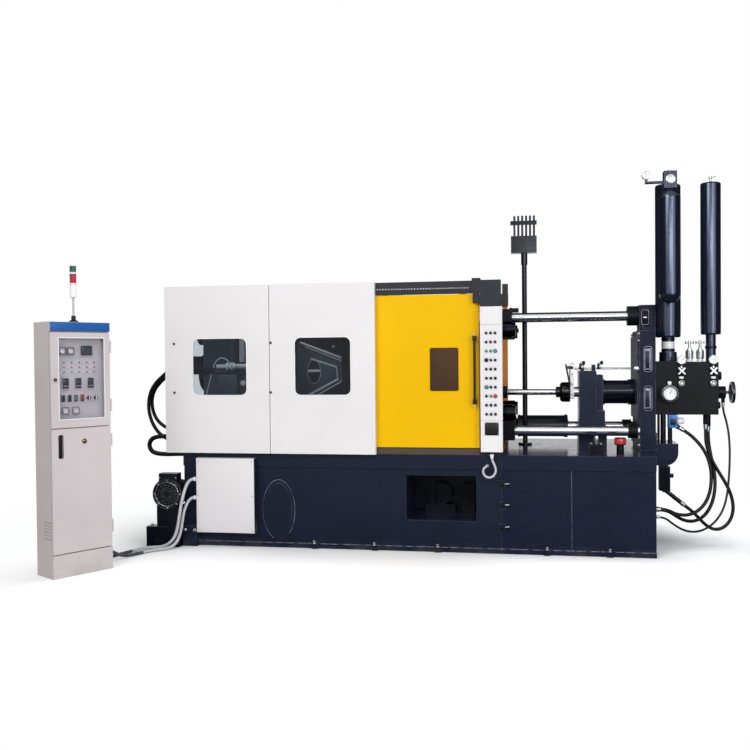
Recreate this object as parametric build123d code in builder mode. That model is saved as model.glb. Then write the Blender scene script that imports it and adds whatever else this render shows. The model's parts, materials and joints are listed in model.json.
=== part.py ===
"""Cold-chamber die casting machine with its control cabinet, at real size in millimetres.

+X runs along the machine from the clamp end to the injection end, -Y faces the operator and
+Z is up. The origin is on the floor, on the machine's centreline, below the die-side face of
the fixed platen, which is the face that a die is measured from.
"""

import os
from math import atan2, cos, degrees, hypot, radians, sin, tan

from build123d import *

os.makedirs("parts", exist_ok=True)

# Machine bed
BED_HEIGHT = 680.0
BED_DEPTH = 1300.0
CLAMP_BED_LEFT = -2070.0
BED_JOINT = 240.0
SHOT_BED_LENGTH = 1025.0
BAND_HEIGHT = 98.0
BAND_STEP = 16.0
BED_LIP_HEIGHT = 34.0
ANCHOR_WIDTH = 44.0
ANCHOR_REACH = 20.0
SERVICE_WINDOW_LEFT = -425.0
SERVICE_WINDOW_WIDTH = 490.0
SERVICE_WINDOW_BOTTOM = 218.0
SERVICE_WINDOW_HEIGHT = 314.0
SERVICE_WINDOW_REACH = 520.0
ACCESS_COVER_X = -1351.0
ACCESS_COVER_Z = 270.0
ACCESS_COVER_WIDTH = 240.0
ACCESS_COVER_HEIGHT = 432.0
ACCESS_COVER_THICKNESS = 8.0

# Clamp unit
CLAMP_AXIS_RISE = 570.0
PLATEN_SIZE = 860.0
PLATEN_CORNER = 70.0
PLATEN_THICKNESS = 200.0
MOVING_PLATEN_THICKNESS = 190.0
REAR_PLATEN_THICKNESS = 220.0
DIE_GAP = 380.0
REAR_PLATEN_LEFT = -1990.0
TIE_BAR_SPACING = 600.0
TIE_BAR_RADIUS = 52.0
TIE_BAR_NUT_RADIUS = 84.0
TIE_BAR_NUT_LENGTH = 70.0
SEAT_CLEARANCE = 0.3
LINK_WIDTH = 110.0
EYE_RADIUS = 62.0
TOGGLE_PIN_RADIUS = 30.0
REAR_PIN_REACH = 70.0
REAR_PIN_RISE = 325.0
FRONT_PIN_REACH = 70.0
FRONT_PIN_RISE = 262.0
MID_PIN_X = -955.0
MID_PIN_RISE = 75.0
CROSSHEAD_PIN_X = -1085.0
CROSSHEAD_PIN_RISE = 60.0
CLAMP_CYLINDER_RADIUS = 150.0
CLAMP_CYLINDER_LENGTH = 150.0

# Covers
COVER_REACH = 50.0
COVER_LEFT = -2180.0
COVER_RIGHT = -629.0
COVER_SEAM = -1392.0
COVER_HEIGHT = 1204.0
COVER_DEPTH = 47.0
SHEET = 3.0
SEAM_GAP = 4.0
COVER_WINDOW_RISE = 419.0
COVER_WINDOW_HEIGHT = 404.0
COVER_WINDOW_WIDTH = 400.0
LEFT_WINDOW_LEFT = -1964.0
RIGHT_WINDOW_LEFT = -1203.0
WINDOW_CORNER = 34.0
PANE_THICKNESS = 5.0
POST_WIDTH = 50.0

# Safety door
DOOR_THICKNESS = 30.0
DOOR_LEFT = -668.0
DOOR_RIGHT = 92.0
DOOR_RISE = 48.0
DOOR_HEIGHT = 1062.0
DOOR_TRAVEL = 550.0
DOOR_WINDOW_LEFT = -250.0
DOOR_WINDOW_WIDTH = 200.0
DOOR_WINDOW_RISE = 441.0
DOOR_WINDOW_HEIGHT = 301.0
RAIL_HEIGHT = 86.0
RAIL_WALL = 6.0
RAIL_HALF_WIDTH = 28.0
RAIL_SLOT_HALF = 9.0
RAIL_RIGHT = 47.0
ROLLER_RADIUS = 22.0
ROLLER_HALF_WIDTH = 16.0
HANDLE_X = 63.0
HANDLE_RISE = 354.0
HANDLE_HEIGHT = 466.0
GUARD_RIGHT = 245.0

# Control panel
PANEL_LEFT = 104.0
PANEL_WIDTH = 148.0
PANEL_DEPTH = 66.0
PANEL_RISE = 28.0
PANEL_HEIGHT = 990.0
BUTTON_RADIUS = 9.0
LARGE_BUTTON_RADIUS = 13.0
BUTTON_PITCH = 61.3
BUTTON_SPREAD = 30.0

# Injection unit
SHOT_RISE = 408.0
SHOT_ROD_RADIUS = 22.0
PISTON_ROD_RADIUS = 38.0
SHOT_BLOCK_LEFT = 785.0
SHOT_BLOCK_LENGTH = 123.0
SHOT_BLOCK_HALF_DEPTH = 150.0
SHOT_CYLINDER_RADIUS = 86.0
RUNNING_CLEARANCE = 0.1
PULL_ROD_RADIUS = 36.0
UPPER_ROD_RISE = 968.0
LOWER_ROD_RISE = 137.0
LOWER_ROD_Y = 230.0
FRAME_LEFT = 1200.0
FRAME_LENGTH = 110.0
FRAME_HALF_DEPTH = 250.0
FRAME_HEIGHT = 854.0
FACE_PLATE = 15.0
MANIFOLD_FRONT = -200.0
MANIFOLD_REAR = 120.0
MANIFOLD_RIGHT = 1742.0
HANDWHEEL_RADIUS = 76.0
CROSS_HANDLE_SPAN = 64.0
CROSS_HANDLE_WIDTH = 11.0

# Hoses and conduits
HOSE_RADIUS = 12.0
THIN_HOSE_RADIUS = 7.5
CLAMP_HOSE_RADIUS = 13.5
LOWER_CLAMP_HOSE_RADIUS = 17.0
CONDUIT_RADIUS = 11.0
PANEL_CONDUIT_RADIUS = 8.0

# Control cabinet
CABINET_X = -2466.0
CABINET_REACH = 1123.0
CABINET_TURN = 58.0
CABINET_WIDTH = 414.0
CABINET_DEPTH = 204.0
CABINET_HEIGHT = 1600.0
CABINET_PLINTH = 150.0
CABINET_BAND = 60.0
CABINET_DOOR_THICKNESS = 16.0
CABINET_DOOR_GAP = 3.0
CABINET_DOOR_INSET = 2.0
LOWER_DOOR_HEIGHT = 780.0
DOOR_SEAM = 6.0
HINGE_OFFSET = 8.0
KNUCKLE_RADIUS = 7.0
KNUCKLE_LENGTH = 40.0

BRACKET_RIGHT = 1471.0
BED_FRONT = -BED_DEPTH / 2
BED_REAR = BED_DEPTH / 2
SHOT_BED_RIGHT = BED_JOINT + SHOT_BED_LENGTH
WEB_FRONT = BED_FRONT + BAND_STEP
WEB_REAR = BED_REAR - BAND_STEP
DECK = BED_HEIGHT


def block(x, y, z, mode=Mode.ADD):
    """A box between three (low, high) pairs."""
    middle = ((x[0] + x[1]) / 2, (y[0] + y[1]) / 2, (z[0] + z[1]) / 2)
    with Locations(middle):
        Box(x[1] - x[0], y[1] - y[0], z[1] - z[0], mode=mode)


def round_x(x, y, z, radius, mode=Mode.ADD):
    """A round bar along X between a (low, high) pair."""
    with Locations(((x[0] + x[1]) / 2, y, z)):
        Cylinder(radius, x[1] - x[0], rotation=(0, 90, 0), mode=mode)


def round_y(x, y, z, radius, mode=Mode.ADD):
    """A round bar along Y between a (low, high) pair."""
    with Locations((x, (y[0] + y[1]) / 2, z)):
        Cylinder(radius, y[1] - y[0], rotation=(90, 0, 0), mode=mode)


def round_z(x, y, z, radius, mode=Mode.ADD):
    """A round bar along Z between a (low, high) pair."""
    with Locations((x, y, (z[0] + z[1]) / 2)):
        Cylinder(radius, z[1] - z[0], mode=mode)


def rod(start, end, radius):
    """A round bar between two points."""
    span = Vector(*end) - Vector(*start)
    with BuildSketch(Plane(origin=start, z_dir=span)) as section:
        Circle(radius)
    extrude(section.sketch, amount=span.length)


def bottle(x, y, z, radius, dome):
    """A round bottle between a (low, high) pair of heights, with domed ends."""
    half = (z[1] - z[0]) / 2
    with BuildSketch(Plane.XZ.offset(-y)) as profile:
        with Locations((x + radius / 2, z[0] + half)):
            side = Rectangle(radius, 2 * half)
        fillet(side.vertices().group_by(Axis.X)[-1], dome)
    revolve(profile.sketch, axis=Axis((x, y, 0), (0, 0, 1)))


def write(builder, name):
    """Label a finished piece and write its STEP file."""
    piece = builder.part
    piece.label = name
    export_step(piece, f"parts/{name}.step")


def bed_body(left, right):
    """A welded bed: a web with a proud band along its top and a lip along its foot."""
    block((left, right), (WEB_FRONT, WEB_REAR), (0, BED_HEIGHT))
    block((left, right), (BED_FRONT, BED_REAR), (BED_HEIGHT - BAND_HEIGHT, BED_HEIGHT))
    block((left, right), (BED_FRONT, BED_REAR), (0, BED_LIP_HEIGHT))


def anchor(x):
    """A foot lug that sticks out below the front and the rear of a bed."""
    half = ANCHOR_WIDTH / 2
    block((x - half, x + half), (BED_FRONT - ANCHOR_REACH, BED_REAR + ANCHOR_REACH), (0, 40))


def joint_lugs(left, right):
    """Three lugs beside the joint between the two beds."""
    for rise in (179, 331, 475):
        block((left, right), (BED_FRONT, BED_REAR), (rise - 28, rise + 28))


# Beds
with BuildPart() as clamp_bed:
    bed_body(CLAMP_BED_LEFT, BED_JOINT)
    joint_lugs(BED_JOINT - 22, BED_JOINT)
    for foot in (-1082, -647, -201):
        anchor(foot)
    block(
        (SERVICE_WINDOW_LEFT, SERVICE_WINDOW_LEFT + SERVICE_WINDOW_WIDTH),
        (BED_FRONT, BED_FRONT + SERVICE_WINDOW_REACH),
        (SERVICE_WINDOW_BOTTOM, SERVICE_WINDOW_BOTTOM + SERVICE_WINDOW_HEIGHT),
        mode=Mode.SUBTRACT,
    )
    block((CLAMP_BED_LEFT, CLAMP_BED_LEFT + 70), (-430, -260), (DECK, DECK + 160))
    round_x((CLAMP_BED_LEFT - 30, CLAMP_BED_LEFT), -290, DECK + 120, 22)
    round_x((CLAMP_BED_LEFT - 30, CLAMP_BED_LEFT), -340, DECK + 40, 22)
    for rise in (90, -41):
        round_x((CLAMP_BED_LEFT - 30, CLAMP_BED_LEFT), -400, DECK + rise, 24)
    round_y(146, (BED_FRONT - 24, BED_FRONT), DECK - 68, 13)
    block((-2061, -1956), (BED_FRONT - 45, WEB_FRONT), (0, 149))
write(clamp_bed, "clamp_bed")

with BuildPart() as injection_bed:
    bed_body(BED_JOINT, SHOT_BED_RIGHT)
    joint_lugs(BED_JOINT, BED_JOINT + 22)
    for foot in (544, 960):
        anchor(foot)
    with BuildSketch(Plane.XZ.offset(-110)):
        with Locations(((SHOT_BED_RIGHT + BRACKET_RIGHT) / 2, DECK - 56)):
            bracket = Rectangle(BRACKET_RIGHT - SHOT_BED_RIGHT, 112)
        fillet(bracket.vertices().group_by(Axis.X)[-1].group_by(Axis.Y)[0], 90)
    extrude(amount=300)
    block((FRAME_LEFT + FRAME_LENGTH + 16, BRACKET_RIGHT), (-190, 110), (DECK, DECK + 44))
    round_x((SHOT_BED_RIGHT, SHOT_BED_RIGHT + 25), -300, DECK - 404, 20)
    round_x((SHOT_BED_RIGHT, SHOT_BED_RIGHT + 25), -360, DECK - 400, 20)
    round_x((SHOT_BED_RIGHT, SHOT_BED_RIGHT + 14), -420, DECK - 441, 14)
write(injection_bed, "injection_bed")

with BuildPart() as access_cover:
    with BuildSketch(Plane.XZ.offset(-WEB_FRONT)):
        with Locations((ACCESS_COVER_X, ACCESS_COVER_Z)):
            Ellipse(ACCESS_COVER_WIDTH / 2, ACCESS_COVER_HEIGHT / 2)
    extrude(amount=ACCESS_COVER_THICKNESS)
    with BuildSketch(Plane.XZ.offset(-WEB_FRONT + ACCESS_COVER_THICKNESS)):
        with Locations((ACCESS_COVER_X, ACCESS_COVER_Z)):
            Ellipse(ACCESS_COVER_WIDTH / 2 - 22, ACCESS_COVER_HEIGHT / 2 - 22)
    extrude(amount=5)
write(access_cover, "access_cover")

with BuildPart() as hydraulic_drive:
    bay_rear = BED_FRONT + SERVICE_WINDOW_REACH
    bay_floor = SERVICE_WINDOW_BOTTOM
    block((-330, -110), (bay_rear - 190, bay_rear), (bay_floor, bay_floor + 60))
    round_y(-215, (bay_rear - 170, bay_rear), bay_floor + 135, 78)
    block((-60, 30), (bay_rear - 150, bay_rear), (bay_floor, bay_floor + 210))
    block((-285, -255), (bay_rear - 205, bay_rear - 190), (bay_floor, bay_floor + 280))
write(hydraulic_drive, "hydraulic_drive")

# Clamp unit
CLAMP_AXIS_Z = DECK + CLAMP_AXIS_RISE
SHOT_Z = DECK + SHOT_RISE
TIE_Y = TIE_BAR_SPACING / 2
TIE_ROWS = (CLAMP_AXIS_Z - TIE_BAR_SPACING / 2, CLAMP_AXIS_Z + TIE_BAR_SPACING / 2)
TIE_BORE = TIE_BAR_RADIUS + SEAT_CLEARANCE
REAR_PLATEN_RIGHT = REAR_PLATEN_LEFT + REAR_PLATEN_THICKNESS
MOVING_PLATEN_RIGHT = -DIE_GAP
MOVING_PLATEN_LEFT = MOVING_PLATEN_RIGHT - MOVING_PLATEN_THICKNESS
REAR_PIN_X = REAR_PLATEN_RIGHT + REAR_PIN_REACH
FRONT_PIN_X = MOVING_PLATEN_LEFT - FRONT_PIN_REACH
PIN_BORE = TOGGLE_PIN_RADIUS + SEAT_CLEARANCE
CORE = (135, 205)
INNER_PLATE = (104, 134)
OUTER_PLATE = (206, 236)
CROSS_PLATE = (63, 101)


def platen(left, right):
    """A platen with clipped corners on its bed shoe, bored for the four tie bars."""
    half = PLATEN_SIZE / 2
    with BuildSketch(Plane.YZ.offset(left)) as outline:
        with Locations((0, CLAMP_AXIS_Z)):
            face = Rectangle(PLATEN_SIZE, PLATEN_SIZE)
        chamfer(face.vertices(), PLATEN_CORNER)
    extrude(outline.sketch, amount=right - left)
    block((left, right), (-half + 90, half - 90), (DECK, CLAMP_AXIS_Z - half))
    for y in (-TIE_Y, TIE_Y):
        for row in TIE_ROWS:
            round_x((left, right), y, row, TIE_BORE, Mode.SUBTRACT)


def die_slots(face, way):
    """Four clamping slots across a die-side face."""
    for rise in (-200, -90, 90, 200):
        row = CLAMP_AXIS_Z + rise
        half = PLATEN_SIZE / 2
        depth = sorted((face, face + way * 26))
        block(depth, (-half, half), (row - 9, row + 9), Mode.SUBTRACT)
        depth = sorted((face + way * 13, face + way * 26))
        block(depth, (-half, half), (row - 16, row + 16), Mode.SUBTRACT)


def ears(face, pin_x, rise, spans):
    """Bored ears that carry one toggle pin above and one below the axis."""
    for way in (-1, 1):
        for side in (-1, 1):
            for span in spans:
                low, high = sorted((side * span[0], side * span[1]))
                z = CLAMP_AXIS_Z + way * rise
                with BuildSketch(Plane.XZ.offset(-high)) as outline:
                    with Locations((pin_x, z)):
                        Circle(EYE_RADIUS)
                    with Locations(((face + pin_x) / 2, z)):
                        Rectangle(abs(face - pin_x), 2 * EYE_RADIUS)
                    with Locations((pin_x, z)):
                        Circle(PIN_BORE, mode=Mode.SUBTRACT)
                extrude(outline.sketch, amount=high - low)


def link(start, end, span, eye, width):
    """A pair of toggle links, one on each side, between two pins given in the XZ plane."""
    middle = ((start[0] + end[0]) / 2, (start[1] + end[1]) / 2)
    reach = hypot(end[0] - start[0], end[1] - start[1])
    turn = degrees(atan2(end[1] - start[1], end[0] - start[0]))
    for side in (-1, 1):
        low, high = sorted((side * span[0], side * span[1]))
        with BuildSketch(Plane.XZ.offset(-high)) as outline:
            with Locations(Location((middle[0], middle[1], 0), (0, 0, turn))):
                Rectangle(reach, width)
            with Locations(start, end):
                Circle(eye)
                Circle(PIN_BORE, mode=Mode.SUBTRACT)
        extrude(outline.sketch, amount=high - low)


with BuildPart() as fixed_platen:
    platen(0, PLATEN_THICKNESS)
    die_slots(0, 1)
    round_x((PLATEN_THICKNESS, PLATEN_THICKNESS + 24), 0, SHOT_Z - 40, 62)
    round_x((0, PLATEN_THICKNESS + 24), 0, SHOT_Z, SHOT_ROD_RADIUS + 12, Mode.SUBTRACT)
write(fixed_platen, "fixed_platen")

with BuildPart() as moving_platen:
    platen(MOVING_PLATEN_LEFT, MOVING_PLATEN_RIGHT)
    die_slots(MOVING_PLATEN_RIGHT, -1)
    ears(MOVING_PLATEN_LEFT, FRONT_PIN_X, FRONT_PIN_RISE, (INNER_PLATE, OUTER_PLATE))
write(moving_platen, "moving_platen")

with BuildPart() as rear_platen:
    platen(REAR_PLATEN_LEFT, REAR_PLATEN_RIGHT)
    ears(REAR_PLATEN_RIGHT, REAR_PIN_X, REAR_PIN_RISE, (CORE,))
    bore = TOGGLE_PIN_RADIUS + SEAT_CLEARANCE
    round_x((REAR_PLATEN_LEFT, REAR_PLATEN_RIGHT), 0, CLAMP_AXIS_Z, bore, Mode.SUBTRACT)
write(rear_platen, "rear_platen")

with BuildPart() as tie_bars:
    for y in (-TIE_Y, TIE_Y):
        for row in TIE_ROWS:
            round_x((REAR_PLATEN_LEFT - TIE_BAR_NUT_LENGTH - 12, PLATEN_THICKNESS + 132), y, row, TIE_BAR_RADIUS)
            round_x((REAR_PLATEN_LEFT - TIE_BAR_NUT_LENGTH, REAR_PLATEN_LEFT), y, row, TIE_BAR_NUT_RADIUS)
            round_x((PLATEN_THICKNESS, PLATEN_THICKNESS + 110), y, row, TIE_BAR_RADIUS + 9)
write(tie_bars, "tie_bars")

with BuildPart() as clamp_cylinder:
    cylinder_left = REAR_PLATEN_LEFT - CLAMP_CYLINDER_LENGTH
    round_x((cylinder_left, REAR_PLATEN_LEFT), 0, CLAMP_AXIS_Z, CLAMP_CYLINDER_RADIUS)
    round_x((cylinder_left, REAR_PLATEN_LEFT), 0, CLAMP_AXIS_Z, PIN_BORE, Mode.SUBTRACT)
    block((cylinder_left + 20, REAR_PLATEN_LEFT), (-370, -250), (CLAMP_AXIS_Z + 30, CLAMP_AXIS_Z + 130))
write(clamp_cylinder, "clamp_cylinder")

with BuildPart() as toggle_links:
    for way in (-1, 1):
        mid_pin = (MID_PIN_X, CLAMP_AXIS_Z + way * MID_PIN_RISE)
        rear_pin = (REAR_PIN_X, CLAMP_AXIS_Z + way * REAR_PIN_RISE)
        front_pin = (FRONT_PIN_X, CLAMP_AXIS_Z + way * FRONT_PIN_RISE)
        cross_pin = (CROSSHEAD_PIN_X, CLAMP_AXIS_Z + way * CROSSHEAD_PIN_RISE)
        link(rear_pin, mid_pin, INNER_PLATE, EYE_RADIUS, LINK_WIDTH)
        link(rear_pin, mid_pin, OUTER_PLATE, EYE_RADIUS, LINK_WIDTH)
        link(mid_pin, front_pin, CORE, EYE_RADIUS, LINK_WIDTH)
        link(cross_pin, mid_pin, CROSS_PLATE, TOGGLE_PIN_RADIUS + 15, 70)
write(toggle_links, "toggle_links")

with BuildPart() as toggle_pins:
    for way in (-1, 1):
        for x, rise in ((REAR_PIN_X, REAR_PIN_RISE), (MID_PIN_X, MID_PIN_RISE), (FRONT_PIN_X, FRONT_PIN_RISE)):
            z = CLAMP_AXIS_Z + way * rise
            round_y(x, (-OUTER_PLATE[1], OUTER_PLATE[1]), z, TOGGLE_PIN_RADIUS)
            for end in (OUTER_PLATE[1], -OUTER_PLATE[1] - 6):
                round_y(x, (end, end + 6), z, TOGGLE_PIN_RADIUS + 12)
        reach = CROSS_PLATE[1]
        round_y(CROSSHEAD_PIN_X, (-reach, reach), CLAMP_AXIS_Z + way * CROSSHEAD_PIN_RISE, TOGGLE_PIN_RADIUS)
write(toggle_pins, "toggle_pins")

with BuildPart() as crosshead:
    with BuildSketch(Plane.XZ.offset(-58)):
        with Locations((CROSSHEAD_PIN_X - 80, CLAMP_AXIS_Z)):
            RectangleRounded(150, 250, 30)
        for way in (-1, 1):
            with Locations((CROSSHEAD_PIN_X, CLAMP_AXIS_Z + way * CROSSHEAD_PIN_RISE)):
                Circle(TOGGLE_PIN_RADIUS + 15)
                Circle(PIN_BORE, mode=Mode.SUBTRACT)
        with Locations((CROSSHEAD_PIN_X - 80, CLAMP_AXIS_Z)):
            Ellipse(42, 74, mode=Mode.SUBTRACT)
    extrude(amount=116)
    round_x((cylinder_left + 20, CROSSHEAD_PIN_X - 30), 0, CLAMP_AXIS_Z, TOGGLE_PIN_RADIUS)
write(crosshead, "crosshead")

# Covers
COVER_FRONT = BED_FRONT - COVER_REACH
COVER_BACK = COVER_FRONT + COVER_DEPTH
COVER_TOP = DECK + COVER_HEIGHT
DOOR_FRONT = BED_FRONT + 2
DOOR_BACK = DOOR_FRONT + DOOR_THICKNESS
DOOR_BOTTOM = DECK + DOOR_RISE
DOOR_TOP = DOOR_BOTTOM + DOOR_HEIGHT
RAIL_Y = DOOR_FRONT + 24
RAIL_BOTTOM = DOOR_TOP + 6
RAIL_TOP = RAIL_BOTTOM + RAIL_HEIGHT


def cover_sheet(left, right, outside, inside):
    """A folded sheet-metal cover with rounded outer corners, open at its inner side."""
    low, high = sorted((outside, inside))
    way = 1 if inside > outside else -1
    with BuildSketch(Plane.XY.offset(DECK)) as outline:
        with Locations(((left + right) / 2, (low + high) / 2)):
            face = Rectangle(right - left, high - low)
        fillet(face.vertices().filter_by(lambda v: abs(v.Y - outside) < 1), 2.5)
    extrude(outline.sketch, amount=COVER_HEIGHT)
    cavity = sorted((outside + way * SHEET, inside))
    block((left + SHEET, right - SHEET), cavity, (DECK + SHEET, COVER_TOP - SHEET), Mode.SUBTRACT)


def window_opening(left):
    """A rounded window through a front cover."""
    middle = (left + COVER_WINDOW_WIDTH / 2, DECK + COVER_WINDOW_RISE + COVER_WINDOW_HEIGHT / 2)
    with BuildSketch(Plane.XZ.offset(-COVER_BACK)) as opening:
        with Locations(middle):
            RectangleRounded(COVER_WINDOW_WIDTH, COVER_WINDOW_HEIGHT, WINDOW_CORNER)
    extrude(opening.sketch, amount=COVER_DEPTH, mode=Mode.SUBTRACT)


with BuildPart() as front_covers:
    cover_sheet(COVER_LEFT, COVER_SEAM - SEAM_GAP / 2, COVER_FRONT, COVER_BACK)
    cover_sheet(COVER_SEAM + SEAM_GAP / 2, COVER_RIGHT, COVER_FRONT, COVER_BACK)
    window_opening(LEFT_WINDOW_LEFT)
    window_opening(RIGHT_WINDOW_LEFT)
write(front_covers, "front_covers")

with BuildPart() as cover_windows:
    for left in (LEFT_WINDOW_LEFT, RIGHT_WINDOW_LEFT):
        window_low = DECK + COVER_WINDOW_RISE
        block(
            (left - 20, left + COVER_WINDOW_WIDTH + 20),
            (COVER_FRONT + SHEET, COVER_FRONT + SHEET + PANE_THICKNESS),
            (window_low - 20, window_low + COVER_WINDOW_HEIGHT + 20),
        )
write(cover_windows, "cover_windows")

with BuildPart() as rear_cover:
    cover_sheet(COVER_LEFT, COVER_RIGHT, -COVER_FRONT, -COVER_BACK)
write(rear_cover, "rear_cover")

with BuildPart() as cover_posts:
    for side in (-1, 1):
        near = side * (COVER_FRONT + SHEET)
        far = side * (COVER_BACK + POST_WIDTH)
        end_post = (CLAMP_BED_LEFT, CLAMP_BED_LEFT + POST_WIDTH)
        block(end_post, sorted((near, far)), (DECK + SHEET, COVER_TOP - SHEET))
        block(end_post, sorted((side * COVER_BACK, far)), (DECK, DECK + SHEET))
        seam_post = (COVER_SEAM - POST_WIDTH / 2, COVER_SEAM + POST_WIDTH / 2)
        block(seam_post, sorted((side * COVER_BACK, far)), (DECK, COVER_TOP - SHEET))
        outer = -RAIL_Y - 18
        block((-885, -885 + POST_WIDTH), sorted((side * outer, side * (outer - POST_WIDTH))), (DECK, RAIL_BOTTOM))
write(cover_posts, "cover_posts")

# Safety door
DOOR_WINDOW_BOTTOM = DECK + DOOR_WINDOW_RISE
GUARD_LEFT = COVER_RIGHT
SLATE_LEFT = PANEL_LEFT - 1
DOOR_CENTRE = DOOR_FRONT + DOOR_THICKNESS / 2

with BuildPart() as door_rails:
    near, far = RAIL_Y - RAIL_HALF_WIDTH, RAIL_Y + RAIL_HALF_WIDTH
    rail_left = COVER_SEAM + POST_WIDTH / 2
    block((rail_left, RAIL_RIGHT), (near, far), (RAIL_BOTTOM, RAIL_TOP))
    block(
        (rail_left, RAIL_RIGHT),
        (near + RAIL_WALL, far - RAIL_WALL),
        (RAIL_BOTTOM + RAIL_WALL, RAIL_TOP - RAIL_WALL),
        Mode.SUBTRACT,
    )
    slot = (RAIL_Y - RAIL_SLOT_HALF, RAIL_Y + RAIL_SLOT_HALF)
    block((rail_left, RAIL_RIGHT), slot, (RAIL_BOTTOM, RAIL_BOTTOM + RAIL_WALL), Mode.SUBTRACT)
    block((RAIL_RIGHT, SLATE_LEFT), (BED_FRONT - 40, far), (RAIL_BOTTOM, RAIL_TOP + 14))
    block((RAIL_RIGHT + 6, SLATE_LEFT - 4), (BED_FRONT - 40, BED_FRONT - 6), (RAIL_BOTTOM - 70, RAIL_BOTTOM))
    block((COVER_RIGHT - 589, DOOR_RIGHT), (COVER_BACK, BED_FRONT + 40), (DECK, DOOR_BOTTOM - 6))
    block((GUARD_LEFT, GUARD_RIGHT + 6), (-far, -near - 8), (DOOR_TOP, RAIL_TOP - 10))
    block((GUARD_RIGHT - 42, GUARD_RIGHT + 6), (-far - 6, -far), (DOOR_TOP - 24, RAIL_TOP + 70))
write(door_rails, "door_rails")

with BuildPart() as safety_door:
    with BuildSketch(Plane.XZ.offset(-DOOR_BACK)):
        with Locations(((DOOR_LEFT + DOOR_RIGHT) / 2, (DOOR_BOTTOM + DOOR_TOP) / 2)):
            RectangleRounded(DOOR_RIGHT - DOOR_LEFT, DOOR_HEIGHT, 6)
        with Locations((DOOR_WINDOW_LEFT + DOOR_WINDOW_WIDTH / 2, DOOR_WINDOW_BOTTOM + DOOR_WINDOW_HEIGHT / 2)):
            RectangleRounded(DOOR_WINDOW_WIDTH, DOOR_WINDOW_HEIGHT, 14, mode=Mode.SUBTRACT)
    extrude(amount=DOOR_THICKNESS)
    for x in (DOOR_LEFT + 108, DOOR_RIGHT - 112):
        roller_z = RAIL_BOTTOM + RAIL_WALL + ROLLER_RADIUS + SEAT_CLEARANCE
        block((x - 25, x + 25), (RAIL_Y - 3, RAIL_Y + 3), (DOOR_TOP - 4, roller_z))
        round_y(x, (RAIL_Y - ROLLER_HALF_WIDTH, RAIL_Y + ROLLER_HALF_WIDTH), roller_z, ROLLER_RADIUS)
write(safety_door, "safety_door")

with BuildPart() as door_window:
    with BuildSketch(Plane.XZ.offset(-DOOR_CENTRE)):
        with Locations((DOOR_WINDOW_LEFT + DOOR_WINDOW_WIDTH / 2, DOOR_WINDOW_BOTTOM + DOOR_WINDOW_HEIGHT / 2)):
            RectangleRounded(DOOR_WINDOW_WIDTH, DOOR_WINDOW_HEIGHT, 14)
    extrude(amount=PANE_THICKNESS)
write(door_window, "door_window")

with BuildPart() as door_handle:
    handle_low = DECK + HANDLE_RISE
    handle_high = handle_low + HANDLE_HEIGHT
    round_z(HANDLE_X, DOOR_FRONT - 40, (handle_low + 10, handle_high - 10), 9)
    for end in (handle_low, handle_high - 32):
        block((HANDLE_X - 13, HANDLE_X + 13), (DOOR_FRONT - 52, DOOR_FRONT), (end, end + 32))
write(door_handle, "door_handle")

with BuildPart() as rear_guard:
    block((GUARD_LEFT, GUARD_RIGHT), (-DOOR_BACK, -DOOR_FRONT), (DECK, DOOR_TOP))
write(rear_guard, "rear_guard")

# Control panel
PANEL_RIGHT = PANEL_LEFT + PANEL_WIDTH
PANEL_BACK = COVER_BACK - 1
PANEL_FRONT = PANEL_BACK - PANEL_DEPTH
PANEL_BOTTOM = DECK + PANEL_RISE
PANEL_TOP = PANEL_BOTTOM + PANEL_HEIGHT
BUTTON_TOP = PANEL_TOP - 180
LARGE_BUTTONS = ((2, 2), (3, 0), (6, 0), (7, 2))

with BuildPart() as control_panel:
    block((PANEL_LEFT, PANEL_RIGHT), (PANEL_FRONT, PANEL_BACK), (PANEL_BOTTOM, PANEL_TOP))
    for seam in (PANEL_TOP - 123, PANEL_TOP - 774):
        block((PANEL_LEFT, PANEL_RIGHT), (PANEL_FRONT, PANEL_FRONT + 3), (seam - 2, seam + 2), Mode.SUBTRACT)
write(control_panel, "control_panel")

with BuildPart() as panel_buttons:
    for row in range(10):
        for column in range(3):
            radius = LARGE_BUTTON_RADIUS if (row, column) in LARGE_BUTTONS else BUTTON_RADIUS
            x = PANEL_LEFT + 71 + (column - 1) * BUTTON_SPREAD
            z = BUTTON_TOP - row * BUTTON_PITCH
            round_y(x, (PANEL_FRONT - 12, PANEL_FRONT), z, radius)
    plate_left = PANEL_LEFT + 28
    block((plate_left, plate_left + 94), (PANEL_FRONT - 3, PANEL_FRONT), (PANEL_TOP - 876, PANEL_TOP - 788))
write(panel_buttons, "panel_buttons")

with BuildPart() as panel_bracket:
    block((SLATE_LEFT, PANEL_RIGHT - 10), (PANEL_FRONT + 30, PANEL_BACK), (PANEL_TOP, PANEL_TOP + 184))
    block((PANEL_LEFT + 6, PANEL_RIGHT - 10), (PANEL_BACK, BED_FRONT + 60), (DECK, PANEL_TOP + 184))
    block((SLATE_LEFT, PANEL_LEFT + 6), (PANEL_BACK, BED_FRONT + 60), (RAIL_BOTTOM, PANEL_TOP + 184))
    round_z(PANEL_LEFT + 73, (PANEL_FRONT + PANEL_BACK) / 2, (PANEL_BOTTOM - 24, PANEL_BOTTOM), 13)
write(panel_bracket, "panel_bracket")

# Injection unit
UPPER_ROD_Z = DECK + UPPER_ROD_RISE
LOWER_ROD_Z = DECK + LOWER_ROD_RISE
FRAME_RIGHT = FRAME_LEFT + FRAME_LENGTH
FRAME_TOP = DECK + FRAME_HEIGHT
UPPER_BLOCK_LEFT = FRAME_LEFT + 17
PLATE_LEFT = FRAME_LEFT - FACE_PLATE
CLAMP_RIGHT = PLATEN_THICKNESS + 100
ROD_BORE = PULL_ROD_RADIUS + SEAT_CLEARANCE

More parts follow.
